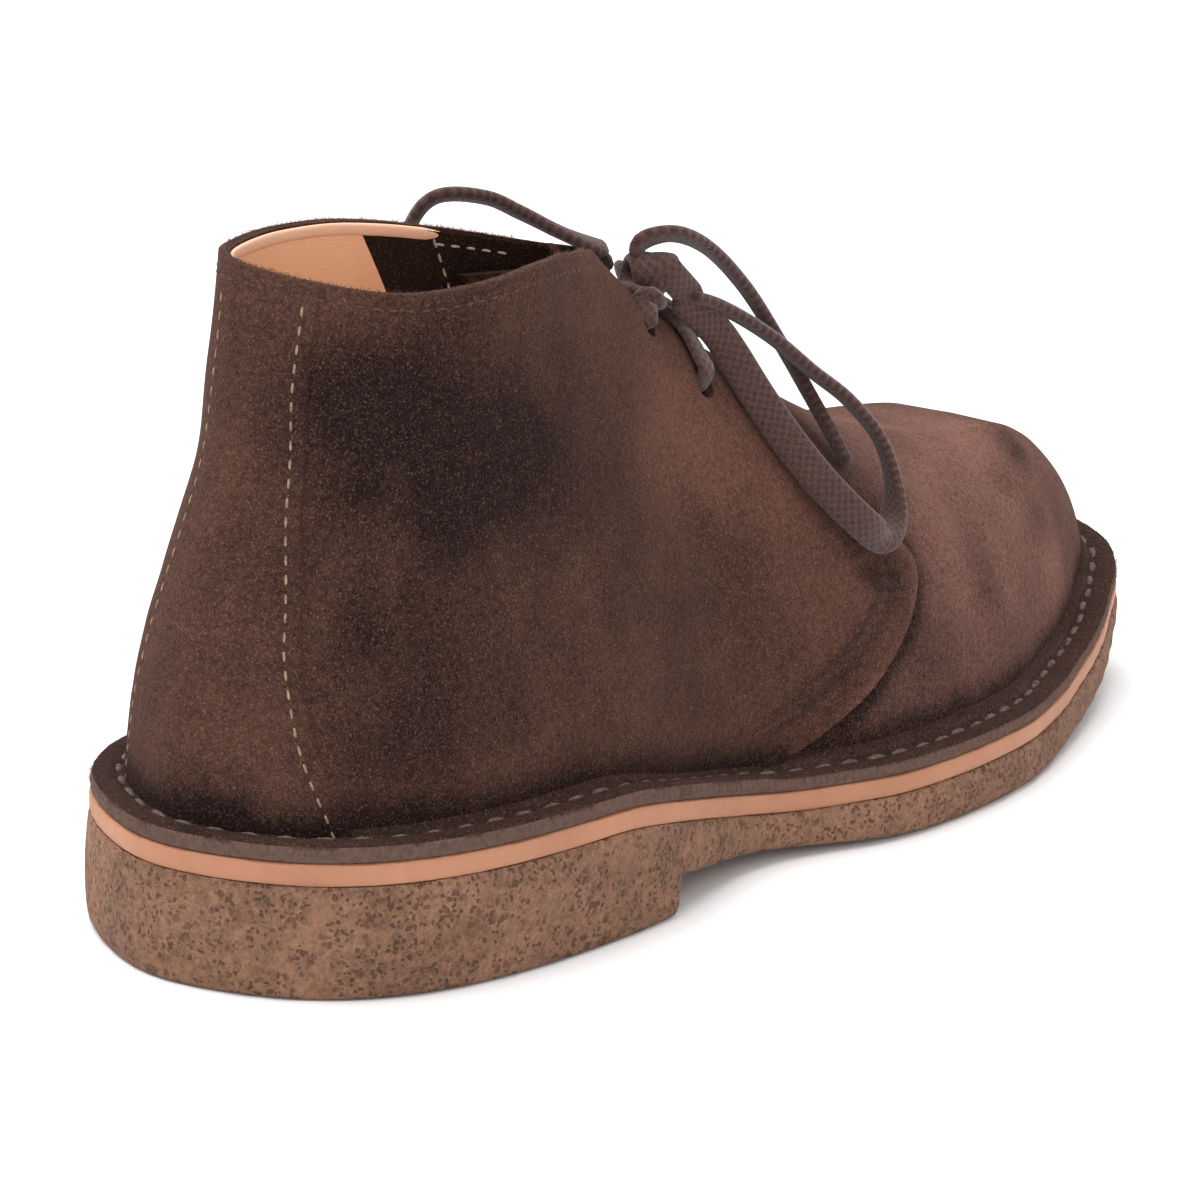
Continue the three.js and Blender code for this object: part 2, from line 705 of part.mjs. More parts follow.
// The flat bar of lace from hole to hole over the lower pair
function makeLaceBar() {
  const row = holeRows[holeRows.length - 1];
  const y = row.along * soleLength;
  const start = row.up * collarHeight;
  const top = ridgeHeight(y);
  const lift = wall + quarterStep + laceGap + laceThickness / 2;
  const half = (side) => {
    const points = [];
    for (let i = 0; i < barSteps / 2; i += 1) {
      const z = start + (top - start) * Math.sin((Math.PI * i) / barSteps);
      points.push(lastPoint(y, z, side).addScaledVector(lastNormal(y, z, side), lift));
    }
    return points;
  };
  const slope = (ridgeHeight(y + 1) - ridgeHeight(y - 1)) / 2;
  const ridge = new THREE.Vector3(middleAt(y), y, top);
  ridge.addScaledVector(new THREE.Vector3(0, -slope, 1).normalize(), lift);
  return tubeSolid([...half(1), ridge, ...half(-1).reverse()], laceBarWidth, laceThickness, barSteps);
}

function makeKnot() {
  const profile = [];
  for (let i = 0; i <= laceSides; i += 1) {
    const angle = (Math.PI * i) / laceSides;
    profile.push(new THREE.Vector2(knotRadius * Math.sin(angle), (-knotLength / 2) * Math.cos(angle)));
  }
  const geometry = new THREE.LatheGeometry(profile, laceSides);
  geometry.rotateZ(Math.PI / 2);
  geometry.translate(...knotPlace);
  return toSolid(geometry);
}

function makeLaceCord(route) {
  const points = route.map((place) => new THREE.Vector3(...place));
  const length = new THREE.CatmullRomCurve3(points, false, 'centripetal').getLength();
  return tubeSolid(points, 2 * laceCordRadius, 2 * laceCordRadius, Math.ceil(length / laceStep));
}

function finish(color, roughness) {
  return new THREE.MeshStandardMaterial({ color, roughness, metalness: 0 });
}

const suede = finish(0x46342c, 0.95);
const crepe = finish(0x896b56, 0.85);
const tanLeather = finish(0xbe825f, 0.6);
const woven = finish(0x4e3c3a, 0.9);

const boot = new THREE.Group();

function addPiece(name, solid, material) {
  const mesh = new THREE.Mesh(toGeometry(solid), material);
  mesh.name = name;
  boot.add(mesh);
  return mesh;
}

addPiece('outsole', makeOutsole(), crepe);
addPiece('midsole', makeMidsole(), tanLeather);
addPiece('upper', makeUpper(), suede);
addPiece('insole', makeInsole(), tanLeather);
addPiece('tongue', makeTongue(), suede);
addPiece('lace_bar', makeLaceBar(), woven);

// The origin is in the middle of the boot, on the floor, without the free parts of the lace
const extent = new THREE.Box3().setFromObject(boot);
boot.position.set(-(extent.min.x + extent.max.x) / 2, -(extent.min.y + extent.max.y) / 2, -extent.min.z);

addPiece('lace_knot', makeKnot(), woven);
for (const [name, route] of Object.entries(laceRoutes)) addPiece(name, makeLaceCord(route), woven);

export default boot;
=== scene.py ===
import math

import bmesh
import bpy
import numpy as np
from mathutils import Matrix, Vector
from mathutils.bvhtree import BVHTree


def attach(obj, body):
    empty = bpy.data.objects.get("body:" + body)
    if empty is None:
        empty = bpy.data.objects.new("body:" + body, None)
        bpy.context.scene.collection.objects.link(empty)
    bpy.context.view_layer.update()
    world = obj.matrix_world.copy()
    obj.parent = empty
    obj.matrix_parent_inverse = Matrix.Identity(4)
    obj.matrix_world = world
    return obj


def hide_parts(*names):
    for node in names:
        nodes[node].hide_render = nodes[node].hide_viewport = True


# The boot is worked out in millimetres from the back of the sole, as its drawing is, and every
# mesh is moved to the row frame in metres as it is made.
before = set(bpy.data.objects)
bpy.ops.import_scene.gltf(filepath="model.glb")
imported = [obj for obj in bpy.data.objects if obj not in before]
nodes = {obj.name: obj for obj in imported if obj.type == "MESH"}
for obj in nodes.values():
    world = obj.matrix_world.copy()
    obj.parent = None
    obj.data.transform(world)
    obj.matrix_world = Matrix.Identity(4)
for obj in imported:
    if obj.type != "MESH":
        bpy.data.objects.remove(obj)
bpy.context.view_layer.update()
# Where the row frame's origin lies in the drawing: the middle of the solids' box, on the floor
bootMiddle = np.array([1.0555, 150.0098, 0.0])
print("frame loaded")


# Camera

camera = {
    "place": (0.40031, -0.55141, 0.23052),
    "right": (0.74519, 0.66651, 0.02138),
    "up": (-0.20032, 0.19316, 0.9605),
    "back": (0.63606, -0.72003, 0.27745),
    "lens": 104.24,
    "sensor": 36.0,
    "shift": (0.2024, 0.012),
}


def makeCamera(spec):
    """Stands the camera where the photo was taken from, turned by its three directions."""
    data = bpy.data.cameras.new("camera")
    data.lens, data.sensor_width = spec["lens"], spec["sensor"]
    data.shift_x, data.shift_y = spec["shift"]
    turn = Matrix((spec["right"], spec["up"], spec["back"])).transposed().to_4x4()
    obj = bpy.data.objects.new("camera", data)
    obj.matrix_world = Matrix.Translation(spec["place"]) @ turn
    bpy.context.scene.collection.objects.link(obj)
    bpy.context.scene.camera = obj


makeCamera(camera)
print("camera placed")


# Sizes and tables of the boot

sole = {
    "length": 300.0, "ball": 107.0, "heel": 20.9, "fore": 9.4, "breast": 89.0, "breastRadius": 4.0,
    "arch": 7.0, "archEnd": 182.0, "archFall": 2.2, "spring": 15.3, "springStart": 204.0,
    "midsole": 3.8, "gap": 0.3,
}
upper = {
    "collar": 126.0, "instep": 104.0, "flange": 7.2, "flangeHeight": 2.7, "flangeInset": 0.5,
    "wall": 1.8, "quarter": 0.9, "rear": 0.8, "lining": 0.6, "hole": 2.2, "cap": 1.09,
    "waist": (0.23, 0.455), "counter": (0.05, 0.30), "ankle": (0.38, 0.62), "overrun": 15.0,
}
soleLength, ballWidth = sole["length"], sole["ball"]
collarHeight, instepHeight = upper["collar"], upper["instep"]

# along, lateral, medial: shares of the length and of the ball width
outlineRows = np.array([
    (0.022, 0.198, 0.188), (0.061, 0.323, 0.312), (0.128, 0.412, 0.380), (0.275, 0.458, 0.372),
    (0.405, 0.415, 0.313), (0.527, 0.514, 0.387), (0.667, 0.514, 0.486), (0.780, 0.434, 0.474),
    (0.888, 0.325, 0.407), (0.969, 0.192, 0.256),
])
toeShift = -0.028
# along, height as a share of the instep's
ridgeRows = np.array([
    (0.1000, 7.269), (0.1670, 3.877), (0.2000, 2.423), (0.2330, 1.745), (0.2570, 1.502),
    (0.2800, 1.345), (0.3133, 1.250), (0.3467, 1.163), (0.3800, 1.082), (0.4300, 0.981),
    (0.4900, 0.887), (0.5600, 0.775), (0.6300, 0.693), (0.7000, 0.652), (0.7800, 0.630),
    (0.8400, 0.609), (0.8850, 0.572), (0.9200, 0.515), (0.9450, 0.439), (0.9600, 0.363),
])
# height as a share of the collar's, how far in from the back as a share of the length
backRows = np.array([
    (0.20, 0.0), (0.34, 0.0), (0.44, 0.005), (0.52, 0.015), (0.60, 0.027), (0.68, 0.037),
    (0.80, 0.048), (1.00, 0.060), (1.10, 0.062),
])
# height, lateral and medial narrowing
ankleRows = np.array([
    (0.20, 1.00, 1.00), (0.33, 0.96, 0.96), (0.45, 0.88, 0.88), (0.52, 0.82, 0.82),
    (0.68, 0.74, 0.74), (0.80, 0.72, 0.70), (1.00, 0.71, 0.67), (1.10, 0.71, 0.67),
])
# along, lateral and medial fullness
sectionRows = np.array([
    (0.20, 2.6, 2.6), (0.40, 2.0, 2.1), (0.60, 1.7, 2.0), (0.80, 2.1, 2.3), (1.00, 2.4, 2.4),
])
# along, lateral and medial height of the collar
collarRows = np.array([
    (-0.02, 0.995, 0.995), (0.05, 0.984, 0.993), (0.09, 0.953, 0.984), (0.13, 0.941, 0.980),
    (0.18, 0.951, 0.984), (0.23, 0.958, 0.984), (0.29, 0.944, 0.966), (0.37, 0.920, 0.922),
])
# along, lateral and medial half width of the opening between the facings, then of the vamp's
facingRows = np.array([
    (0.300, 0.045, 0.036), (0.400, 0.048, 0.037), (0.435, 0.065, 0.047), (0.465, 0.120, 0.083),
    (0.483, 0.215, 0.145), (0.503, 0.289, 0.193), (0.530, 0.333, 0.227), (0.556, 0.342, 0.243),
    (0.600, 0.350, 0.260),
])
vampRows = np.array([
    (0.300, 0.035, 0.026), (0.400, 0.037, 0.027), (0.435, 0.048, 0.036), (0.470, 0.070, 0.055),
    (0.500, 0.072, 0.058), (0.520, 0.048, 0.038), (0.528, 0.012, 0.010),
])
holeRows = np.array([(0.403, 0.790), (0.448, 0.687)])
# along and up: the quarter's front edge in the side view
quarterRows = np.array([
    (0.556, 0.443), (0.583, 0.428), (0.590, 0.388), (0.568, 0.325), (0.527, 0.250),
    (0.475, 0.175), (0.410, 0.100),
])
# up, lateral and medial: the rear panel's edges seen from behind
rearRows = np.array([
    (1.20, 0.120, 0.100), (0.95, 0.115, 0.095), (0.75, 0.115, 0.095), (0.53, 0.160, 0.130),
    (0.35, 0.215, 0.175), (0.20, 0.270, 0.225), (0.05, 0.300, 0.250),
])


# Curves

def unit(vectors):
    """Directions of length one."""
    return vectors / np.linalg.norm(vectors, axis=-1, keepdims=True)


def ease(value, low, high):
    """Steps from 0 to 1 between low and high: three t squared less two t cubed."""
    t = np.clip((value - low) / (high - low), 0, 1)
    return t * t * (3 - 2 * t)


def readTable(rows, column, value):
    """A smooth curve through a column: cubic pieces whose slopes are harmonic means, so it never
    swings past a row."""
    x, y = rows[:, 0], rows[:, column]
    slope = np.diff(y) / np.diff(x)
    tangent = np.r_[slope[0], np.zeros(len(x) - 2), slope[-1]]
    product, total = slope[:-1] * slope[1:], slope[:-1] + slope[1:]
    tangent[1:-1] = np.where(product <= 0, 0, 2 * product / np.where(total == 0, 1, total))
    value = np.clip(value, x[0], x[-1])
    i = np.clip(np.searchsorted(x, value) - 1, 0, len(x) - 2)
    span = x[i + 1] - x[i]
    t = (value - x[i]) / span
    return ((1 + 2 * t) * (1 - t) ** 2 * y[i] + t * (1 - t) ** 2 * span * tangent[i]
            + t * t * (3 - 2 * t) * y[i + 1] + t * t * (t - 1) * span * tangent[i + 1])


def centripetal(points, closed, per=40):
    """A rounded curve through points, each piece timed by the square root of its chord."""
    points = np.asarray(points, float)
    if closed:
        before, after, last = np.roll(points, 1, 0), np.roll(points, -1, 0), np.roll(points, -2, 0)
        start = points
    else:
        padded = np.vstack([2 * points[0] - points[1], points, 2 * points[-1] - points[-2]])
        before, start, after, last = padded[:-3], padded[1:-2], padded[2:-1], padded[3:]
    gaps = [np.sqrt(np.linalg.norm(b - a, axis=1))[:, None]
            for a, b in ((before, start), (start, after), (after, last))]
    leave = ((start - before) / gaps[0] - (after - before) / (gaps[0] + gaps[1])
             + (after - start) / gaps[1]) * gaps[1]
    arrive = ((after - start) / gaps[1] - (last - start) / (gaps[1] + gaps[2])
              + (last - after) / gaps[2]) * gaps[1]
    t = np.linspace(0, 1, per, endpoint=False)[None, :, None]
    a, b, c, d = [v[:, None, :] for v in (start, after, leave, arrive)]
    curve = a + c * t + (3 * (b - a) - 2 * c - d) * t ** 2 + (2 * (a - b) + c + d) * t ** 3
    curve = curve.reshape(-1, points.shape[1])
    return curve if closed else np.vstack([curve, points[-1:]])


def spline(points, per=16):
    """An even rounded curve through plane points: half the difference of its neighbours is each
    point's slope."""
    padded = np.vstack([points[:1], points, points[-1:]])
    before, start, after, last = [v[:, None, :] for v in
                                  (padded[:-3], padded[1:-2], padded[2:-1], padded[3:])]
    t = np.linspace(0, 1, per, endpoint=False)[None, :, None]
    leave, arrive = (after - before) / 2, (last - start) / 2
    curve = ((2 * start - 2 * after + leave + arrive) * t ** 3
             + (3 * after - 3 * start - 2 * leave - arrive) * t ** 2 + leave * t + start)
    return np.vstack([curve.reshape(-1, points.shape[1]), points[-1:]])


def spaced(curve, count):
    """A curve's points again, evenly apart along it."""
    run = np.r_[0, np.cumsum(np.linalg.norm(np.diff(curve, axis=0), axis=1))]
    goal = np.linspace(0, run[-1], count)
    return np.stack([np.interp(goal, run, curve[:, k]) for k in range(curve.shape[1])], axis=1)


def inset(ring, distance):
    """A closed plan ring moved inwards, square to the line between each point's neighbours."""
    along = np.roll(ring, -1, 0) - np.roll(ring, 1, 0)
    along = unit(along)
    return np.stack([ring[:, 0] - along[:, 1] * distance, ring[:, 1] + along[:, 0] * distance], 1)


ringPoints = np.vstack([
    [(0, 0)],
    np.stack([outlineRows[:, 1] * ballWidth, outlineRows[:, 0] * soleLength], 1),
    [(toeShift * ballWidth, soleLength)],
    np.stack([-outlineRows[::-1, 2] * ballWidth, outlineRows[::-1, 0] * soleLength], 1),
])
closedRing = centripetal(ringPoints, True)
outline = spaced(np.vstack([closedRing, closedRing[:1]]), 961)[:-1]


def edgePair(ring):
    """Readers of a ring's lateral and medial edge at a place along the foot."""
    low, high = ring[:, 1].argmin(), ring[:, 1].argmax()
    shifted = np.roll(ring, -low, 0)
    turn = (high - low) % len(ring)
    lateral, medial = shifted[:turn + 1], np.vstack([shifted[turn:], shifted[:1]])[::-1]
    return (lambda y: np.interp(y, lateral[:, 1], lateral[:, 0]),
            lambda y: np.interp(y, medial[:, 1], medial[:, 0]))


feather = inset(outline, upper["flange"] + upper["wall"] + upper["quarter"])
featherBack, featherFront = feather[:, 1].min(), feather[:, 1].max()
featherEdges = edgePair(feather)


def springAt(y):
    return sole["spring"] * np.maximum(0, (y - sole["springStart"])
                                       / (soleLength - sole["springStart"])) ** 2


def crepeTop(y):
    """Heel height, eased down to the forefoot's through the waist, plus the toe's rise."""
    drop = (sole["heel"] - sole["fore"]) * ease(y / soleLength, *upper["waist"])
    return sole["heel"] - drop + springAt(y)


def seatHeight(y):
    return crepeTop(y) + sole["midsole"] + 2 * sole["gap"]


def ridgeHeight(y):
    """The table's line, and a quarter ellipse from its last row down to the toe."""
    tipY, tipUp = ridgeRows[-1, 0] * soleLength, ridgeRows[-1, 1] * instepHeight
    low = seatHeight(featherFront)
    t = np.clip((y - tipY) / (featherFront - tipY), 0, 1)
    return np.where(y <= tipY, readTable(ridgeRows, 1, y / soleLength) * instepHeight,
                    low + (tipUp - low) * np.sqrt(1 - t * t))


def backAt(z):
    return featherBack + readTable(backRows, 1, z / collarHeight) * soleLength


def middleAt(y):
    """The middle line, eased from the heel's middle to the toe's."""
    heel, toe = [sum(edge(end) for edge in featherEdges) / 2 for end in (featherBack, featherFront)]
    return heel + (toe - heel) * ease(y, featherBack, featherFront)


def lastEdge(y, z, side):
    """Half width at the feather line, narrowed by height over the ankle, times the square root of
    one less the height's share to the fullness power."""
    column = 1 if side > 0 else 2
    low = seatHeight(y)
    shift = y - (backAt(z) - featherBack) * (1 - ease(y / soleLength, *upper["counter"]))
    middle = middleAt(y)
    reach = featherEdges[column - 1](np.maximum(featherBack, shift)) - middle
    narrow = readTable(ankleRows, column, np.maximum(z, low) / collarHeight)
    fade = 1 - ease(y / soleLength, *upper["ankle"])
    share = np.clip((z - low) / (ridgeHeight(y) - low), 0, 1)
    power = readTable(sectionRows, column, y / soleLength)
    return middle + reach * (1 + (narrow - 1) * fade) * np.sqrt(np.maximum(0, 1 - share ** power))


# Creases and soft unevenness of the suede

# Side, both ends in the side view, width and depth: below 0 is a trough, above 0 a ridge
creases = [
    (1, (26, 92), (70, 76), 9.0, -0.8), (1, (30, 78), (72, 62), 8.0, 0.6),
    (1, (24, 66), (62, 52), 9.0, -0.7), (1, (60, 104), (96, 84), 9.0, -0.5),
    (1, (88, 84), (122, 58), 10.0, -0.7), (1, (96, 66), (124, 44), 8.0, 0.5),
    (1, (74, 60), (78, 34), 5.0, -0.5), (1, (90, 56), (94, 30), 4.5, -0.45),
    (1, (84, 58), (86, 32), 4.0, 0.35), (1, (118, 40), (146, 30), 5.0, -0.4),
    (1, (176, 60), (194, 36), 5.0, -0.55), (1, (186, 62), (202, 42), 5.0, 0.3),
    (1, (196, 62), (212, 40), 5.5, -0.4), (1, (222, 40), (240, 32), 7.0, -0.3),
    (-1, (30, 88), (76, 70), 9.0, -0.8), (-1, (90, 80), (126, 54), 10.0, -0.7),
    (-1, (60, 60), (104, 38), 8.0, 0.5), (-1, (176, 60), (194, 36), 5.0, -0.55),
    (-1, (186, 62), (202, 42), 5.0, 0.3), (-1, (196, 62), (214, 38), 5.5, -0.4),
]
# Soft swells of the toe and the instep: place, reach and height
swells = [
    ((-2, 224, 66), 18.0, -0.9), ((4, 249, 63), 16.0, 0.8), ((17, 266, 50), 16.0, -1.7),
    ((22, 100, 92), 14.0, 0.5),
]
deepestCrease = -1.0


def creaseDepth(place):
    """Each crease falls off as a bell with the distance from its line; slow waves of under a
    quarter of a millimetre lie over them, and all of it fades towards the seat and the collar.
    The swells are bells round their places and are added without fading."""
    x, y, z = place[..., 0], place[..., 1], place[..., 2]
    lean = (x - middleAt(y)) / 12.0
    depth = np.zeros(x.shape)
    for side, start, end, width, height in creases:
        (ay, az), (by, bz) = start, end
        t = np.clip(((y - ay) * (by - ay) + (z - az) * (bz - az))
                    / ((by - ay) ** 2 + (bz - az) ** 2), 0, 1)
        away = (y - ay - t * (by - ay)) ** 2 + (z - az - t * (bz - az)) ** 2
        depth += height * np.exp(-away / width ** 2) * ease(side * lean, -0.6, 0.8)
    depth += 0.14 * np.sin(0.11 * y + 0.07 * z + 1.0) * np.sin(0.13 * z - 0.05 * y + 0.05 * x)
    depth += 0.08 * np.sin(0.23 * y - 0.17 * z + 0.2 * x)
    top = ease(ridgeHeight(y) - z, 0.5, 9) * 0.7 + 0.3
    depth *= ease(z - seatHeight(y), 1, 12) * (1 - ease(z, 104, 118)) * top
    for middle, reach, height in swells:
        depth += height * np.exp(-((place - middle) ** 2).sum(-1) / reach ** 2)
    return np.maximum(depth, deepestCrease)


def lastRings(around, levels):
    """Rings of the last: each is a line in the side view from its back to its ridge, with both
    edges on it, from the seat up to the cap."""
    cap = upper["cap"] * collarHeight
    y = featherFront * (1 - (np.arange(401) / 400) ** 2)
    z = ridgeHeight(y)
    end = int(np.argmax(z > cap)) + 1
    ridge = np.stack([y[:end], np.minimum(z[:end], cap)], 1)
    front = spaced(ridge, levels + 1)
    level = np.linspace(0, 1, levels + 1)[:, None]
    low = seatHeight(featherBack)
    backZ = low + (cap - low) * level
    backY = backAt(backZ)
    s = ((1 - np.cos(np.pi * np.arange(around + 1) / around)) / 2)[None, :]
    y = backY + (front[:, :1] - backY) * s
    straight = backZ + (front[:, 1:] - backZ) * s
    seatLine = low + (ridge[0, 1] - low) * s
    z = straight + (seatHeight(y) - seatLine) * (1 - level) ** 3
    lateral, medial = lastEdge(y, z, 1), lastEdge(y, z, -1)
    for x in (lateral, medial):
        x[:, 0], x[:, -1] = middleAt(y[:, 0]), middleAt(y[:, -1])
    sides = [np.stack([x, y, z], 2) for x in (lateral, medial)]
    return np.concatenate([sides[0], sides[1][:, -2:0:-1]], axis=1)


detail = {"around": 118, "levels": 172, "depth": 28.0}
rings = lastRings(detail["around"], detail["levels"])
across = np.roll(rings, -1, 1) - np.roll(rings, 1, 1)
rise = np.concatenate([rings[1:2], rings[2:], rings[-1:]]) - np.concatenate(
    [rings[:1], rings[:-2], rings[-2:-1]])
normals = np.cross(across, rise)
normals[0, :, 2] = 0
normals = unit(normals)
ringCreases = creaseDepth(rings)


# Meshes

def makeMesh(name, points, faces, smooth=True):
    """A mesh from millimetre points, moved to the row frame."""
    mesh = bpy.data.meshes.new(name)
    mesh.from_pydata(((points - bootMiddle) / 1000).tolist(), [], [list(f) for f in faces])
    mesh.update()
    if smooth:
        mesh.shade_smooth()
    return mesh


def makeObject(name, mesh):
    obj = bpy.data.objects.new(name, mesh)
    bpy.context.scene.collection.objects.link(obj)
    return obj


def faceOutwards(mesh, mergeWithin=0.0):
    """Turns every face outwards, after points nearer than a distance are merged."""
    work = bmesh.new()
    work.from_mesh(mesh)
    if mergeWithin:
        bmesh.ops.remove_doubles(work, verts=work.verts, dist=mergeWithin)
    bmesh.ops.recalc_face_normals(work, faces=work.faces)
    work.to_mesh(mesh)
    work.free()


def gridFaces(rows, columns):
    """Four-sided faces of a grid of points, closed round and open up."""
    k, i = np.meshgrid(np.arange(rows - 1), np.arange(columns), indexing="ij")
    j = (i + 1) % columns
    return np.stack([k * columns + i, k * columns + j, (k + 1) * columns + j,
                     (k + 1) * columns + i], axis=2).reshape(-1, 4)


# How far the quarter's rim stands up and the leather beside it is pressed down, and how wide
quarterRim = {"lift": 0.4, "press": -0.35, "reach": 3.4}
quarterLine = spline(quarterRows * np.array([soleLength, collarHeight]))


def edgeAway(place):
    """Distance in the side view from the quarter's front edge."""
    line = quarterLine[::4]
    gaps = (place[..., 1, None] - line[:, 0]) ** 2 + (place[..., 2, None] - line[:, 1]) ** 2
    return np.sqrt(gaps.min(-1))


def lastBody(name, grow, creased=1.0, lip=0.0):
    """The last grown by a distance along its normals, filled, and carried down past the seat. A
    lip lifts or sinks it by a bell of the distance from the quarter's front edge."""
    bell = np.exp(-(edgeAway(rings) / quarterRim["reach"]) ** 2) * ease(rings[:, :, 1], 118, 130)
    body = rings + normals * (grow + creased * ringCreases + lip * bell)[:, :, None]
    skirt = body[:1] - [0, 0, detail["depth"]]
    points = np.concatenate([skirt, body])
    rows, count = points.shape[:2]
    i = np.arange(count // 2)
    faces = [tuple(f) for f in gridFaces(rows, count).tolist()]
    for base, flip in ((0, False), ((rows - 1) * count, True)):
        a, b = base + i, base + (-i) % count
        c, d = base + i + 1, base + (-i - 1) % count
        first, second = np.stack([a, b, c], 1)[1:], np.stack([b, d, c], 1)[:-1]
        if flip:
            first, second = first[:, ::-1], second[:, ::-1]
        faces += [tuple(f) for f in first.tolist() + second.tolist()]
    return makeObject(name, makeMesh(name, points.reshape(-1, 3), faces))


def prism(name, ring, place):
    """A plane ring carried between the two ends that place gives it, closed at both."""
    count = len(ring)
    points = np.vstack([place(ring, 0), place(ring, 1)])
    i = np.arange(count)
    sides = np.stack([i, (i + 1) % count, (i + 1) % count + count, i + count], 1).tolist()
    obj = makeObject(name, makeMesh(name, points, sides + [list(range(count)),
                     list(range(count, 2 * count))], smooth=False))
    faceOutwards(obj.data)
    return obj


def acrossBoot(ring, end):
    x = np.full(len(ring), ballWidth * (2 * end - 1))
    return np.stack([x, ring[:, 0], ring[:, 1]], 1)


def upBoot(ring, end):
    z = np.full(len(ring), collarHeight * (3 * end - 1))
    return np.stack([ring[:, 0], ring[:, 1], z], 1)


def alongBoot(ring, end):
    y = np.full(len(ring), -15 + 104.0 * end)
    return np.stack([ring[:, 0], y, ring[:, 1]], 1)


stations = np.r_[-upper["overrun"], np.linspace(0, soleLength, 121), soleLength + upper["overrun"]]
sideShares = np.array([soleLength, collarHeight])
collarLines = [spline(collarRows[:, (0, k)] * sideShares) for k in (1, 2)]
collarTilt = (collarLines[0][:, 1] - collarLines[1][:, 1]) / (0.56 * ballWidth)


def collarAt(x, y):
    """Height of the collar's cut: midway between both sides, tilted across."""
    level = (collarLines[0][:, 1] + collarLines[1][:, 1]) / 2
    along = collarLines[0][:, 0]
    return np.interp(y, along, level) + np.interp(y, along, collarTilt) * x


def trimTool(name, lower):
    """All between the seat and the collar, the collar's line lowered by a little."""
    y = collarLines[0][::-1, 0]
    top = np.stack([y, collarAt(0, y) - lower], 1)
    ends = [[soleLength + upper["overrun"], top[0, 1]], [-upper["overrun"], top[-1, 1]]]
    ring = np.vstack([np.stack([stations, seatHeight(stations)], 1), ends[:1], top, ends[1:]])

    def place(ring, end):
        points = acrossBoot(ring, end)
        tilt = np.interp(points[:, 1], collarLines[0][:, 0], collarTilt)
        points[:, 2] += np.where(points[:, 2] > collarHeight / 2, tilt * points[:, 0], 0)
        return points

    return prism(name, ring, place)


def slotTool(name, rows):
    """A slot seen from above, from its half widths to both sides of the middle line."""
    edges = [spline(np.stack([sign * rows[:, k] * ballWidth, rows[:, 0] * soleLength], 1))
             for k, sign in ((1, 1), (2, -1))]
    ring = np.vstack([edges[0], edges[1][::-1]])
    return prism(name, np.stack([ring[:, 0] + middleAt(ring[:, 1]), ring[:, 1]], 1), upBoot)


def boxTool(name, fromY, toY):
    """All between two lines across the foot, each given by its place at the floor and at the
    height of two collars."""
    tall = 2 * collarHeight
    ring = np.array([[fromY[0], -40], [toY[0], -40], [toY[1], tall], [fromY[1], tall]])
    return prism(name, ring, acrossBoot)


def outward(y, z, side):
    """The last's direction outwards: the cross product of its slopes along and up."""
    def place(a, b):
        return np.array([float(lastEdge(a, b, side)), a, b])
    along, up = place(y + 1, z) - place(y - 1, z), place(y, z + 1) - place(y, z - 1)
    normal = np.cross(along, up) * side
    return unit(normal)


def holeTool(name, row, side):
    """A punch standing straight on the last."""
    y, z = row * sideShares
    normal = outward(y, z, side)
    first = np.cross(normal, (0, 0, 1))
    first = unit(first)
    second = np.cross(normal, first)
    angle = np.linspace(0, 2 * np.pi, 28, endpoint=False)
    middle = np.array([float(lastEdge(y, z, side)), y, z])

    def place(ring, end):
        return (middle + normal * 7.2 * (2 * end - 1)
                + upper["hole"] * (ring[:, :1] * first + ring[:, 1:] * second))

    return prism(name, np.stack([np.cos(angle), np.sin(angle)], 1), place)


wall, quarterOut = upper["wall"], upper["wall"] + upper["quarter"]
rearOut = quarterOut + upper["rear"]
quarterRing = np.vstack([
    [(-15, 0), (-15, 2 * collarHeight), (quarterLine[0, 0], 2 * collarHeight)], quarterLine,
    [(quarterLine[-1, 0], 0)],
])
rearEdges = [spline(np.stack([sign * rearRows[:, k] * ballWidth, rearRows[:, 0] * collarHeight], 1))
             for k, sign in ((1, 1), (2, -1))]
liningFront = (165.0, -5.0)
tools = {
    "cavity": lastBody("cavity", 0, 0.0),
    "lined": lastBody("lined", upper["lining"], 0.0),
    "vampOut": lastBody("vampOut", wall, lip=quarterRim["press"]),
    "quarterIn": lastBody("quarterIn", wall + 0.05, lip=quarterRim["press"]),
    "quarterOut": lastBody("quarterOut", quarterOut, lip=quarterRim["lift"]),
    "rearIn": lastBody("rearIn", quarterOut + 0.03),
    "rearOut": lastBody("rearOut", rearOut),
    "tongueOut": lastBody("tongueOut", -0.35, 0.0),
    "tongueIn": lastBody("tongueIn", -2.35, 0.0),
    "trim": trimTool("trim", 0.0),
    "trimLow": trimTool("trimLow", 0.7),
    "vampSlot": slotTool("vampSlot", vampRows),
    "facingSlot": slotTool("facingSlot", facingRows),
    "quarterZone": prism("quarterZone", quarterRing, acrossBoot),
    "rearZone": prism("rearZone", np.vstack([rearEdges[0], rearEdges[1][::-1]]), alongBoot),
    "vampZone": boxTool("vampZone", (108, 108), (320, 320)),
    "underZone": boxTool("underZone", (107.8, 107.8), (320, 320)),
    "heelLining": boxTool("heelLining", (-20, -20), liningFront),
    "frontLining": boxTool("frontLining", liningFront, (320, 320)),
}
for k, row in enumerate(holeRows):
    for side in (1, -1):
        tools[f"hole{k}{side}"] = holeTool(f"hole{k}{side}", row, side)
holes = [("DIFFERENCE", f"hole{k}{side}") for k in (0, 1) for side in (1, -1)]
print("bodies and cutters made")


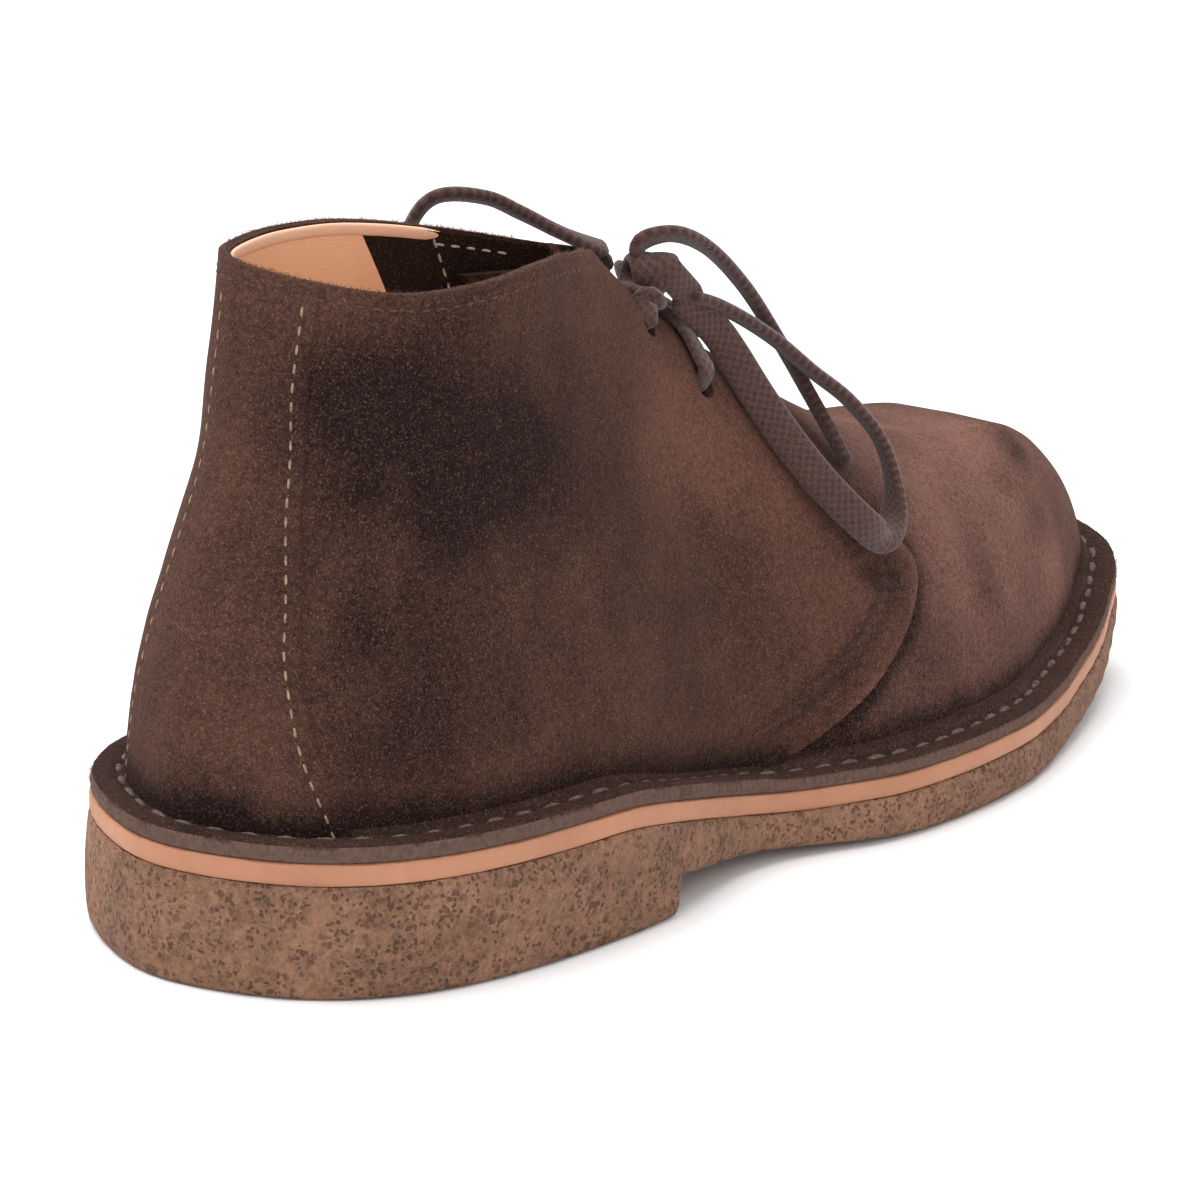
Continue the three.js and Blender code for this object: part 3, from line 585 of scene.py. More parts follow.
def carve(name, start, steps):
    """Cuts, keeps or joins with each tool in turn, and returns the result as a plain mesh."""
    obj = tools[start].copy()
    bpy.context.scene.collection.objects.link(obj)
    for operation, tool in steps:
        change = obj.modifiers.new(tool, "BOOLEAN")
        change.operation, change.solver, change.object = operation, "MANIFOLD", tools[tool]
    bpy.context.view_layer.update()
    ready = obj.evaluated_get(bpy.context.evaluated_depsgraph_get())
    mesh = bpy.data.meshes.new_from_object(ready)
    bpy.data.objects.remove(obj)
    mesh.name = name
    mesh.shade_smooth()
    mesh.set_sharp_from_angle(angle=math.radians(38))
    return makeObject(name, mesh)


pieces = {
    "upper_vamp": ("vampOut", [("INTERSECT", "trim"), ("INTERSECT", "vampZone"),
                               ("DIFFERENCE", "lined"), ("DIFFERENCE", "vampSlot"), *holes]),
    "under_vamp": ("quarterIn", [("INTERSECT", "underZone")]),
    "upper_rear_panel": ("rearOut", [("INTERSECT", "trim"), ("INTERSECT", "rearZone"),
                                     ("DIFFERENCE", "rearIn")]),
    "upper_lining": ("lined", [("INTERSECT", "trimLow"), ("INTERSECT", "heelLining"),
                               ("DIFFERENCE", "cavity")]),
    "upper_facing_lining": ("lined", [("INTERSECT", "trimLow"), ("INTERSECT", "frontLining"),
                                      ("DIFFERENCE", "cavity"), ("DIFFERENCE", "vampSlot"),
                                      *holes]),
}
made = {name: carve(name, *cuts) for name, cuts in pieces.items()}
tools["underVamp"] = made.pop("under_vamp")
made["upper_quarters"] = carve("upper_quarters", "quarterOut", [
    ("INTERSECT", "trim"), ("INTERSECT", "quarterZone"), ("DIFFERENCE", "underVamp"),
    ("DIFFERENCE", "lined"), ("DIFFERENCE", "facingSlot"), *holes])

tongue = {"from": 0.66, "to": 0.30, "depth": 15.0, "cover": 10.0, "top": 0.885}
y = np.linspace(tongue["from"], tongue["to"], 40) * soleLength
ridgeLine = np.stack([y, ridgeHeight(y)], 1)
along = np.gradient(ridgeLine, axis=0)
along = unit(along)
under = ridgeLine + np.stack([-along[:, 1], along[:, 0]], 1) * tongue["depth"]
tongueRing = np.vstack([under, (ridgeLine + tongue["cover"])[::-1]])
tools["tongueZone"] = prism("tongueZone", tongueRing, acrossBoot)
top = tongue["top"] * collarHeight
tools["tongueTop"] = prism("tongueTop", np.array([(-300, 0), (300, 0), (300, top), (-300, top)]),
                           acrossBoot)
made["tongue_leather"] = carve("tongue_leather", "tongueOut", [
    ("DIFFERENCE", "tongueIn"), ("INTERSECT", "tongueZone"), ("INTERSECT", "tongueTop")])
for name, obj in made.items():
    print(name, len(obj.data.polygons), "faces")


# The sole: crepe block, leather midsole and the upper's turned-out edge

outlineEdges = edgePair(outline)
share = (1 - np.cos(np.linspace(0, np.pi, 261))) / 2 * soleLength
breastEnd = sole["breast"] + sole["breastRadius"]
ringY = np.unique(np.r_[share, sole["breast"] - 0.02, sole["breast"] + 0.02,
                        np.linspace(sole["breast"] + 0.1, breastEnd, 9)])
fineRing = np.vstack([np.stack([outlineEdges[0](ringY), ringY], 1),
                      np.stack([outlineEdges[1](ringY), ringY], 1)[-2:0:-1]])
ringSpan = len(ringY)


def soleUnder(y):
    """The crepe's underside: flat under the heel, a rounded corner in front of it, an arch that
    falls away as a power, flat under the ball, then the toe's rise."""
    corner = sole["arch"] - sole["breastRadius"]
    t = np.clip((y - sole["breast"]) / sole["breastRadius"], 0, 1)
    rounded = corner + sole["breastRadius"] * np.sqrt(np.maximum(0, 1 - (1 - t) ** 2))
    fall = np.clip((y - breastEnd) / (sole["archEnd"] - breastEnd), 0, 1)
    arch = sole["arch"] * (1 - fall) ** sole["archFall"]
    return np.where(y < sole["breast"], 0, np.where(y < breastEnd, rounded, arch)) + springAt(y)


def slab(name, bottom, top, profile, waver):
    """A slab over the outline: each profile row gives how far in its ring lies, its share of the
    height and a rise in millimetres; waver moves the rings in and out along the edge."""
    levels = []
    run = np.arange(len(fineRing))
    for inward, height, lift in profile:
        push = waver(run, height) if 0.02 < height < 0.99 else 0
        ring = inset(fineRing, inward + push)
        z = bottom(fineRing[:, 1]) * (1 - height) + top(fineRing[:, 1]) * height
        z = z + (lift(ring[:, 1]) if callable(lift) else lift)
        levels.append(np.stack([ring[:, 0], ring[:, 1], z], 1))
    points = np.concatenate(levels)
    count = len(fineRing)
    faces = gridFaces(len(profile), count).tolist()
    i = np.arange(1, ringSpan - 1)
    for base, flip in ((0, True), ((len(profile) - 1) * count, False)):
        a, b = base + i, base + (i + 1)
        c, d = base + (-i) % count, base + (-(i + 1)) % count
        quads = np.stack([a, b, d, c], 1)[:-1].tolist()
        tips = [[base, base + 1, base + count - 1],
                [base + ringSpan - 2, base + ringSpan - 1, base + ringSpan]]
        faces += [q[::-1] if flip else q for q in quads + tips]
    mesh = makeMesh(name, points, faces)
    mesh.set_sharp_from_angle(angle=math.radians(50))
    return makeObject(name, mesh)


def crepeWaver(run, height):
    """The block's side bulges by a third of a millimetre and wanders by less."""
    return (0.16 * np.sin(0.21 * run + 5 * height) * np.sin(0.047 * run)
            + 0.09 * np.sin(0.83 * run + 9 * height) - 0.35 * np.sin(np.pi * height))


def edgeWaver(run, height):
    return 0.13 * np.sin(0.37 * run + 2.0) * np.sin(0.061 * run) + 0.05 * np.sin(1.31 * run)


# Rows of a slab: how far in, share of the height, rise
crepeProfile = [(14, 0, 0.0), (2.6, 0, 0.0), (1.3, 0, 0.12), (0.55, 0, 0.5), (0.2, 0.03, 0.9),
                (0.05, 0.1, 0.6), (0.0, 0.2, 0), (0.0, 0.32, 0), (0.0, 0.44, 0), (0.0, 0.56, 0),
                (0.0, 0.68, 0), (0.0, 0.8, 0), (0.02, 0.9, 0), (0.12, 0.97, 0), (0.5, 1, 0),
                (14, 1, 0)]
made["outsole_crepe"] = slab("outsole_crepe", soleUnder, crepeTop, crepeProfile, crepeWaver)
midsoleProfile = [(14, 0, 0), (0.7, 0, 0), (0.42, 0.08, 0), (0.34, 0.3, 0), (0.32, 0.55, 0),
                  (0.36, 0.8, 0), (0.5, 0.95, 0), (0.9, 1, 0), (14, 1, 0)]
made["midsole_leather"] = slab(
    "midsole_leather", lambda y: crepeTop(y) + sole["gap"] * 0.4,
    lambda y: crepeTop(y) + sole["gap"] + sole["midsole"], midsoleProfile, edgeWaver)


def quarterLayer(amount):
    """The flange is thicker behind the place where the quarter's edge ends on it."""
    return lambda y: amount * (1 - ease(y, 123.0, 126.0))


flangeProfile = [(14, 0, 0), (1.0, 0, 0), (0.62, 0, 0.35), (0.5, 0.35, 0), (0.55, 0.7, 0),
                 (0.8, 0.9, quarterLayer(0.35)), (1.5, 1, quarterLayer(0.55)),
                 (3.0, 1, quarterLayer(0.5)), (4.3, 0.96, quarterLayer(0.45)),
                 (5.1, 0.84, quarterLayer(0.35)), (5.7, 0.74, quarterLayer(0.25)),
                 (6.3, 0.8, quarterLayer(0.2)), (6.9, 1.08, 0), (7.6, 1.5, 0), (8.4, 1.75, 0),
                 (14, 1.7, 0)]
flangeSlab = slab("flange_slab", lambda y: seatHeight(y) - sole["gap"] * 0.6,
                  lambda y: seatHeight(y) + upper["flangeHeight"], flangeProfile, edgeWaver)
tools["flangeSlab"] = flangeSlab
made["upper_flange"] = carve("upper_flange", "flangeSlab", [("DIFFERENCE", "quarterIn")])
print("sole and flange made")


# Stitches

# Distances of the quarter's two rows from its front edge
quarterSeams = (6.6, 9.6)
threads = {
    "panel": {"pitch": 3.2, "length": 2.1, "width": 0.52, "sink": 0.05},
    "collar": {"pitch": 2.9, "length": 1.8, "width": 0.5, "sink": 0.08},
    "flange": {"pitch": 6.5, "length": 5.0, "width": 1.7, "sink": 0.15},
    "inner": {"pitch": 3.0, "length": 2.0, "width": 0.55, "sink": 0.02},
}


def surfaceTree(obj):
    return BVHTree.FromObject(obj, bpy.context.evaluated_depsgraph_get())


def toRow(point):
    return Vector(((point - bootMiddle) / 1000).tolist())


def settle(tree, points):
    """The nearest places on a surface, in millimetres, and its directions outwards there."""
    found = [tree.find_nearest(toRow(p)) for p in points]
    places = np.array([f[0][:] for f in found]) * 1000 + bootMiddle
    return places, np.array([f[1][:] for f in found])


def stitchRow(name, lines, thread, tree):
    """Rounded stitches along lines on a surface: each is a superellipsoid of the thread's length,
    sunk a little and dipping at both ends."""
    theta = np.linspace(0, np.pi, 9)[:, None]
    phi = np.linspace(0, 2 * np.pi, 10, endpoint=False)[None, :]
    bulge = np.sin(theta) ** 0.6
    shape = np.stack([bulge * np.cos(phi) * thread["width"] / 2,
                      np.cos(theta) * thread["length"] / 2 + 0 * phi,
                      (bulge * np.sin(phi) + 0.1) * thread["width"] * 0.42
                      - 0.16 * thread["width"] * np.cos(theta) ** 2 * 2], 2).reshape(-1, 3)
    shapeFaces = gridFaces(9, 10)[:, ::-1]
    allPoints, allFaces = [], []
    for line in lines:
        run = np.linalg.norm(np.diff(line, axis=0), axis=1).sum()
        count = max(2, int(run / thread["pitch"]))
        dense = spaced(line, 3 * count + 1)
        places, normal = settle(tree, dense)
        tangent = places[2::3] - places[:-2:3]
        spot, normal = places[1::3], normal[1::3]
        tangent = unit(tangent)
        sideways = np.cross(tangent, normal)
        sideways = unit(sideways)
        normal = np.cross(sideways, tangent)
        basis = np.stack([sideways, tangent, normal], 1)
        placed = np.einsum("pk,nkc->npc", shape, basis) + (spot - normal * thread["sink"])[:, None]
        start = sum(len(p) for p in allPoints)
        faces = shapeFaces[None] + (start + np.arange(len(spot)) * len(shape))[:, None, None]
        allPoints.append(placed.reshape(-1, 3))
        allFaces.append(faces.reshape(-1, 4))
    mesh = makeMesh(name, np.concatenate(allPoints), np.concatenate(allFaces).tolist())
    faceOutwards(mesh, mergeWithin=1e-7)
    mesh.shade_smooth()
    return makeObject(name, mesh)


trees = {name: surfaceTree(tools[name]) for name in ("vampOut", "quarterOut", "rearOut", "cavity")}
trees["flange"] = surfaceTree(flangeSlab)


def cast(tree, starts, direction):
    """Where rays in one direction first meet a surface; those that miss are left out."""
    found = [tree.ray_cast(toRow(p), Vector(direction)) for p in starts]
    return np.array([f[0][:] for f in found if f[0]]) * 1000 + bootMiddle


def rearRow(side, inward):
    """The rear panel's edge seen from behind, brought inwards by a distance."""
    edge = rearEdges[0 if side > 0 else 1]
    z = np.linspace(117.5, 26.0, 80)
    x = np.interp(z, edge[::-1, 1], edge[::-1, 0]) - side * inward
    return cast(trees["rearOut"], np.stack([x, np.full(80, -60.0), z], 1), (0, 1, 0))


def sideRow(tree, line, side):
    start = np.stack([np.full(len(line), 200.0 * side), line[:, 0], line[:, 1]], 1)
    return cast(tree, start, (-side, 0, 0))


def collarRow(grow, drop, ends):
    """A line under the collar on the last grown by a distance: its height is found by three
    rounds, because the collar's cut is tilted across."""
    halves = []
    for side in (1, -1):
        y = featherBack + 17.3 + (ends[0 if side > 0 else 1] - featherBack - 17.3) * (
            (1 - np.cos(np.linspace(0, np.pi, 90))) / 2)
        z = collarAt(0, y) - drop
        for _ in range(3):
            x = lastEdge(y, z, side) + side * grow
            z = collarAt(x, y) - drop
        halves.append(np.stack([lastEdge(y, z, side) + side * grow, y, z], 1))
    return np.vstack([halves[0][::-1], halves[1]])


collarLine = collarRow(quarterOut + 0.4, 2.6, (106.0, 104.0))
onPanel = (collarLine[:, 1] < 50) & (np.abs(collarLine[:, 0]) < 0.118 * ballWidth)
first, last = np.flatnonzero(onPanel)[[0, -1]]
made["stitches_collar"] = stitchRow(
    "stitches_collar", [collarLine[:first], collarLine[last + 1:]], threads["collar"],
    trees["quarterOut"])
made["stitches_collar_back"] = stitchRow(
    "stitches_collar_back", [collarLine[first:last + 1]], threads["collar"], trees["rearOut"])
made["stitches_rear_panel"] = stitchRow(
    "stitches_rear_panel", [rearRow(1, 2.0), rearRow(-1, 2.0)], threads["panel"], trees["rearOut"])
front = quarterLine[quarterLine[:, 1] > 0.17 * collarHeight]
tangent = np.gradient(front, axis=0)
tangent = unit(tangent)
inwards = np.stack([tangent[:, 1], -tangent[:, 0]], 1)
rows = [front[14:] + inwards[14:] * depth for depth in quarterSeams]
made["stitches_quarter"] = stitchRow(
    "stitches_quarter", [sideRow(trees["quarterOut"], row, side) for row in rows
                         for side in (1, -1)], threads["panel"], trees["quarterOut"])
seam = inset(fineRing, 5.75)
seam = np.stack([seam[:, 0], seam[:, 1], seatHeight(fineRing[:, 1]) + 2.4], 1)
made["stitches_flange"] = stitchRow("stitches_flange", [np.vstack([seam, seam[:1]])],
                                    threads["flange"], trees["flange"])
upright = np.stack([np.linspace(85.5, 94.5, 9), np.linspace(119, 104, 9)], 1)
run = np.linspace(86, 103, 12)
level = np.stack([run, np.minimum(collarAt(-12, run) - 3.2, ridgeHeight(run) - 5)], 1)
innerRows = [cast(trees["cavity"], np.stack([0 * row[:, 0] + side, row[:, 0], row[:, 1]], 1),
                  (side, 0, 0)) for row in (upright, level) for side in (1, -1)]
made["stitches_lining"] = stitchRow("stitches_lining", innerRows, threads["inner"],
                                    trees["cavity"])


# Hairs of the raw edges: how many, rows of them, length, width and the seed of their chance
fuzz = {
    "collar": {"count": 4200, "length": 0.95, "width": 0.1, "seed": 3},
    "flange": {"rows": 16, "length": 0.55, "width": 0.1, "seed": 5},
}


def fibres(name, roots, outwards, hair):
    """Loose hairs of a raw edge: thin three-sided spikes standing outwards, each thrown about by
    a seeded amount."""
    chance = np.random.default_rng(hair["seed"])
    count = len(roots)
    lean = outwards + chance.normal(0, 0.55, (count, 3))
    lean = unit(lean)
    side = np.cross(lean, chance.normal(0, 1, (count, 3)))
    side = unit(side)
    other = np.cross(lean, side)
    reach = hair["length"] * chance.uniform(0.4, 1.0, (count, 1))
    start = roots + chance.normal(0, 0.25, (count, 3)) - lean * 0.25
    angles = np.arange(3) * 2 * np.pi / 3
    base = [start + hair["width"] / 2 * (np.cos(a) * side + np.sin(a) * other) for a in angles]
    points = np.stack([*base, start + lean * (reach + 0.25)], 1).reshape(-1, 3)
    corners = np.array([(0, 1, 3), (1, 2, 3), (2, 0, 3), (2, 1, 0)])
    faces = (corners[None] + 4 * np.arange(count)[:, None, None]).reshape(-1, 3).tolist()
    return makeObject(name, makeMesh(name, points, faces))


rim = spaced(collarRow(quarterOut - 0.5, 0.1, (106.0, 104.0)), fuzz["collar"]["count"])
rimOut = settle(trees["quarterOut"], rim)[1] * 0.6 + [0, 0, 0.7]
made["fuzz_collar"] = fibres("fuzz_collar", rim, rimOut, fuzz["collar"])
rowCount = fuzz["flange"]["rows"]
edgeRing = np.tile(inset(fineRing, 0.6), (rowCount, 1))
innerRing = np.tile(inset(fineRing, 4.6), (rowCount, 1))
heights = seatHeight(edgeRing[:, 1]) + np.repeat(np.linspace(0.4, 2.6, rowCount), len(fineRing))
edgeOut = np.column_stack([edgeRing - innerRing, 0 * heights]) / 4.0
made["fuzz_flange"] = fibres("fuzz_flange", np.column_stack([edgeRing, heights]),
                             edgeOut + [0, 0, 0.2], fuzz["flange"])
print("stitches and raw edges made")


# Folded edge of the lining

def sweep(name, line, face, width, thickness, power=2.6, sides=20, taper=1.5):
    """A flat band along a line: its section is a superellipse, turned so that its face looks along
    the given direction at each point, and it closes in over the last bit of both ends."""
    tangent = np.gradient(line, axis=0)
    tangent = unit(tangent)
    face = face - (face * tangent).sum(1)[:, None] * tangent
    face = unit(face)
    edge = np.cross(tangent, face)
    run = np.r_[0, np.cumsum(np.linalg.norm(np.diff(line, axis=0), axis=1))]
    angle = np.linspace(0, 2 * np.pi, sides, endpoint=False)
    c, s = np.cos(angle), np.sin(angle)
    u = np.sign(c) * np.abs(c) ** (2 / power) * width / 2
    v = np.sign(s) * np.abs(s) ** (2 / power) * thickness / 2
    close = np.sqrt(np.clip(np.minimum(run, run[-1] - run) / taper, 0, 1) * 0.96 + 0.04)
    points = (line[:, None] + edge[:, None] * (u[None, :, None] * close[:, None, None])
              + face[:, None] * (v[None, :, None] * close[:, None, None]))
    faces = gridFaces(len(line), sides).tolist()
    faces += [list(range(sides))[::-1], list(range((len(line) - 1) * sides, len(line) * sides))]
    mesh = makeMesh(name, points.reshape(-1, 3), faces)
    faceOutwards(mesh)
    weaving = mesh.uv_layers.new(name="weave")
    corner = np.zeros(len(mesh.loops), np.int32)
    mesh.loops.foreach_get("vertex_index", corner)
    place = np.stack([np.tile(u, len(line)), np.repeat(run, sides)], 1)
    weaving.data.foreach_set("uv", place[corner].ravel().astype(np.float32))
    mesh.shade_smooth()
    return makeObject(name, mesh)


fold = spaced(collarRow(0.0, 1.9, (84.0, 89.0)), 260)
foldPlace, foldNormal = settle(surfaceTree(tools["lined"]), fold)
foldLine = foldPlace - foldNormal * 0.35 + [0, 0, 0.35]
made["lining_fold"] = sweep("lining_fold", foldLine, foldNormal, 2.4, 1.0, taper=6.0)


# The lace

lace = {"width": 6.8, "thickness": 2.7, "diameter": 0.007, "step": 0.8, "clear": 0.15,
        "barWidth": 4.4, "barThickness": 2.0}
look = np.array(camera["back"])
routes = {
    "lace_end_lateral": [
        (2.5, 129, 112), (3, 129.3, 115), (6, 134, 116.6), (8, 143.3, 113.5), (11, 152.3, 105.4),
        (15, 161, 92.7), (20, 165.4, 82), (26.5, 166.5, 72.8), (29.5, 166, 69)],
    "lace_end_medial": [
        (-4.5, 134.5, 107.9), (-9, 142, 102), (-16, 150, 92), (-22, 158, 84), (-27, 166, 75),
        (-30, 173, 66)],
    "lace_loop_lateral": [
        (9, 136, 104.5), (12, 143.9, 102), (17, 154.1, 95.6), (22, 162.4, 88), (27, 168.3, 82.1),
        (32, 173, 74), (35.5, 173.3, 65.6), (37.5, 170.5, 59.5), (39.5, 164.3, 57.2),
        (39, 158, 60.9), (34, 151.9, 68.4), (28, 148, 76.4), (21.5, 145, 85.5), (16, 143, 93.5),
        (13.5, 141.6, 97.3), (11, 138, 101.5), (8, 134, 105)],
    "lace_loop_medial": [
        (-2, 126, 113), (-8.5, 119.8, 116.4), (-15, 114.7, 120.2), (-19, 109.4, 123.1),
        (-24, 100.3, 123.7), (-28.5, 99, 119), (-30, 98, 111), (-28.5, 101, 104),
        (-25.5, 107, 103), (-23, 113.5, 107.5), (-20, 118.5, 111.5), (-13, 122.8, 111.8),
        (-3.8, 130, 109.5)],
}
# How far each route point's face is turned from edge-on (0) to face-on (1) for the camera
faceOn = {
    "lace_end_lateral": [0.2, 0.2, 0.1, 0, 0, 0, 0, 0, 0],
    "lace_end_medial": [0, 0, 0, 0, 0, 0],
    "lace_loop_lateral": [0.1, 0, 0, 0, 0, 0, 0.1, 0.5, 0.9, 1, 1, 1, 1, 1, 0.9, 0.8, 0.6],
    "lace_loop_medial": [0.3, 0.1, 0, 0, 0, 0, 0, 0, 0, 0, 0, 0.1, 0.3],
}
cords = {}


def faceAlong(line, amount):
    """The band's face direction: square to the view where it is edge-on, towards the camera where
    it is face-on, with an even turn between them."""
    tangent = np.gradient(line, axis=0)
    tangent = unit(tangent)
    flat = look - (tangent @ look)[:, None] * tangent
    flat = unit(flat)
    edgeOn = np.cross(tangent, flat)
    angle = (1 - amount)[:, None] * np.pi / 2
    return flat * np.cos(angle) + edgeOn * np.sin(angle)


def clearOf(line, lift):
    """Moves a line's points outwards so that none lies nearer the upper than a lift."""
    spot, normal = settle(trees["quarterOut"], line)
    height = ((line - spot) * normal).sum(1)
    return line + normal * np.maximum(0, lift - height)[:, None]


def addLace(name, line, face, width=lace["width"], far="bare"):
    made[name] = sweep(name, line, face, width, lace["thickness"])
    cords[name] = (line, far)


for name, route in routes.items():
    curve = centripetal(route, False, 24)
    share = np.interp(np.linspace(0, 1, len(curve)), np.linspace(0, 1, len(route)), faceOn[name])
    run = np.linalg.norm(np.diff(curve, axis=0), axis=1).sum()
    both = spaced(np.column_stack([curve, share * 0.001]), int(run / lace["step"]))
    line, amount = clearOf(both[:, :3], lace["thickness"] / 2 + lace["clear"]), both[:, 3] * 1000
    addLace(f"{name}_band", line, faceAlong(line, amount),
            far="object" if "loop" in name else "bare")


def overLast(y, z, side, lift):
    return np.array([float(lastEdge(y, z, side)), y, z]) + outward(y, z, side) * lift


y, z = holeRows[1] * sideShares
crest = float(ridgeHeight(y))
lift = quarterOut + 0.4 + 1.1
half = [[overLast(y, z + (crest - z) * math.sin(math.pi * k / 16), side, lift * (k > 0))
         for k in range(8)] for side in (1, -1)]
slope = float(ridgeHeight(y + 1) - ridgeHeight(y - 1)) / 2
ridgeTop = np.array([float(middleAt(y)), y, crest]) + np.array([0, -slope, 1]) / math.hypot(
    slope, 1) * lift
barLine = spaced(centripetal([*half[0], ridgeTop, *half[1][::-1]], False, 12), 90)
_, barNormal = settle(trees["quarterOut"], barLine)
made["lace_bar_band"] = sweep("lace_bar_band", barLine, barNormal, lace["barWidth"],
                              lace["barThickness"])

y, z = holeRows[0] * sideShares
ends = [overLast(y, z, side, 1.2) for side in (1, -1)]
rims = [overLast(y + 1.5, z + 3.5, side, quarterOut + 1.3) for side in (1, -1)]
knot = {"middle": (4.6, 130.0, 109.2), "radius": 2.9, "turns": 1.7, "drift": 6.4, "width": 6.0}
axis, upward = np.array([0.745, 0.667, 0.0]), np.array([0.0, 0.0, 1.0])
sideways = np.cross(axis, upward)
turn = (np.linspace(0, knot["turns"], 18) * 2 + 0.9) * math.pi
slide = np.linspace(-0.5, 0.5, 18) * knot["drift"]
knotMiddle = np.array(knot["middle"])
wrap = knotMiddle + slide[:, None] * axis + knot["radius"] * (
    np.cos(turn)[:, None] * upward + np.sin(turn)[:, None] * sideways)
knotRoute = [ends[0], rims[0], (8.5, 126.5, 104.5), *wrap, (9.5, 138.5, 103.6), (9.5, 143, 98.8),
             (4, 143.5, 97.5), (-1.5, 139, 101.2), (-4.5, 131, 103.5), rims[1], ends[1]]
knotLine = spaced(centripetal(knotRoute, False, 10), 130)
knotFace = knotLine - (knotMiddle + np.clip((knotLine - knotMiddle) @ axis, -4, 4)[:, None] * axis)
addLace("lace_knot_band", knotLine, knotFace, knot["width"], far="object")
print("lace made")


# Materials

class Term:
    """A value in a shader that can be reckoned with: each operator adds one Math node."""

    def __init__(self, paint, socket):
        self.paint, self.socket = paint, socket

    def reckon(self, operation, *others):
        node = self.paint.tree.nodes.new("ShaderNodeMath")
        node.operation = operation
        for place, value in zip(node.inputs, (self, *others)):
            self.paint.feed(place, value)
        return Term(self.paint, node.outputs[0])

    def __add__(self, other):
        return self.reckon("ADD", other)

    def __sub__(self, other):
        return self.reckon("SUBTRACT", other)

    def __mul__(self, other):
        return self.reckon("MULTIPLY", other)

    def __neg__(self):
        return self.reckon("MULTIPLY", -1.0)

    def __rsub__(self, other):
        return (-self) + other

    __radd__ = __add__
    __rmul__ = __mul__

    def clear(self):
        return self.reckon("MINIMUM", 1.0).reckon("MAXIMUM", 0.0)

    def step(self, low, high):
        """Rises from 0 to 1 between low and high."""
        return ((self - low) * (1 / (high - low))).clear()


class Paint:
    """One material's node tree."""

    def __init__(self, name, **values):
        self.material = bpy.data.materials.new(name)
        self.material.use_nodes = True
        self.tree = self.material.node_tree
        self.shader = self.tree.nodes["Principled BSDF"]
        for key, value in values.items():
            self.shader.inputs[key.replace("_", " ")].default_value = value
        self.object = self.put("ShaderNodeTexCoord", "Object")

    def feed(self, place, value):
        if isinstance(value, Term):
            self.tree.links.new(value.socket, place)
        else:
            place.default_value = value

    def put(self, kind, output, settings=None, **inputs):
        node = self.tree.nodes.new(kind)
        for key, value in (settings or {}).items():
            setattr(node, key, value)
        for key, value in inputs.items():
            self.feed(node.inputs[key.replace("_", " ")], value)
        return Term(self, node.outputs[output])

    def noise(self, scale, octaves=3.0, rough=0.5, where=None):
        return self.put("ShaderNodeTexNoise", "Fac", Vector=where or self.object, Scale=scale,
                        Detail=octaves, Roughness=rough)

    def mix(self, share, first, second):
        node = self.tree.nodes.new("ShaderNodeMix")
        node.data_type = "RGBA"
        for place, value in zip((node.inputs[0], node.inputs[6], node.inputs[7]),
                                (share, first, second)):
            self.feed(place, value)
        return Term(self, node.outputs[2])

    def spread(self, across, along, up):
        """The object's place stretched by a factor each way."""
        return self.put("ShaderNodeMapping", 0, Vector=self.object, Scale=(across, along, up))

    def finish(self, color, rough, height, distance, strength=1.0):
        self.feed(self.shader.inputs["Base Color"], color)
        self.feed(self.shader.inputs["Roughness"], rough)
        bump = self.put("ShaderNodeBump", 0, Height=height, Distance=distance, Strength=strength)
        self.feed(self.shader.inputs["Normal"], bump)
        return self.material


def tone(red, green, blue):
    """A screen colour turned to scene values by the usual power of 2.4."""
    parts = [value / 255 for value in (red, green, blue)]
    return tuple(p / 12.92 if p <= 0.04045 else ((p + 0.055) / 1.055) ** 2.4
                 for p in parts) + (1.0,)


# Where the nap lies darker (below 0) or lighter: place in millimetres, reach and amount. The
# broad light patches over the toe's top are partly painted highlight of the light from above.
napPatches = [
    ((24, 42, 97), 32, -0.46), ((18, 28, 99), 18, -0.26), ((30, 56, 80), 28, -0.34),
    ((29, 72, 90), 26, -0.22), ((12, 26, 76), 22, -0.14), ((4, 22, 106), 18, -0.14),
    ((28, 34, 50), 34, -0.30), ((26, 29, 64), 14, -0.14), ((32, 95, 78), 20, -0.12),
    ((3, 4, 97), 14, 0.20), ((10, 4, 70), 10, 0.16), ((14, 10, 44), 16, 0.10),
    ((8, 6, 32), 14, -0.30), ((22, 120, 84), 24, 0.36), ((25, 138, 72), 20, 0.28),
    ((36, 150, 55), 24, 0.18), ((36, 100, 46), 16, -0.12), ((38, 110, 34), 12, -0.12),
    ((40, 160, 36), 16, 0.10), ((40, 186, 44), 18, 0.14), ((24, 222, 54), 48, 0.26),
    ((4, 205, 68), 26, 0.18), ((10, 232, 64), 22, 0.16), ((17, 249, 58), 10, -0.36),
    ((2, 224, 66), 9, -0.26), ((24, 234, 55), 9, -0.22), ((38, 206, 44), 12, -0.2),
    ((14, 205, 66), 9, -0.24), ((26, 240, 44), 10, -0.26), ((36, 204, 34), 12, -0.18),
    ((32, 246, 34), 14, 0.20), ((-30, 60, 60), 34, -0.26), ((-34, 130, 44), 30, 0.2),
    ((-30, 210, 50), 40, 0.16), ((-28, 40, 96), 22, 0.14), ((-34, 90, 40), 18, -0.16),
    ((-20, 244, 52), 14, -0.24),
]


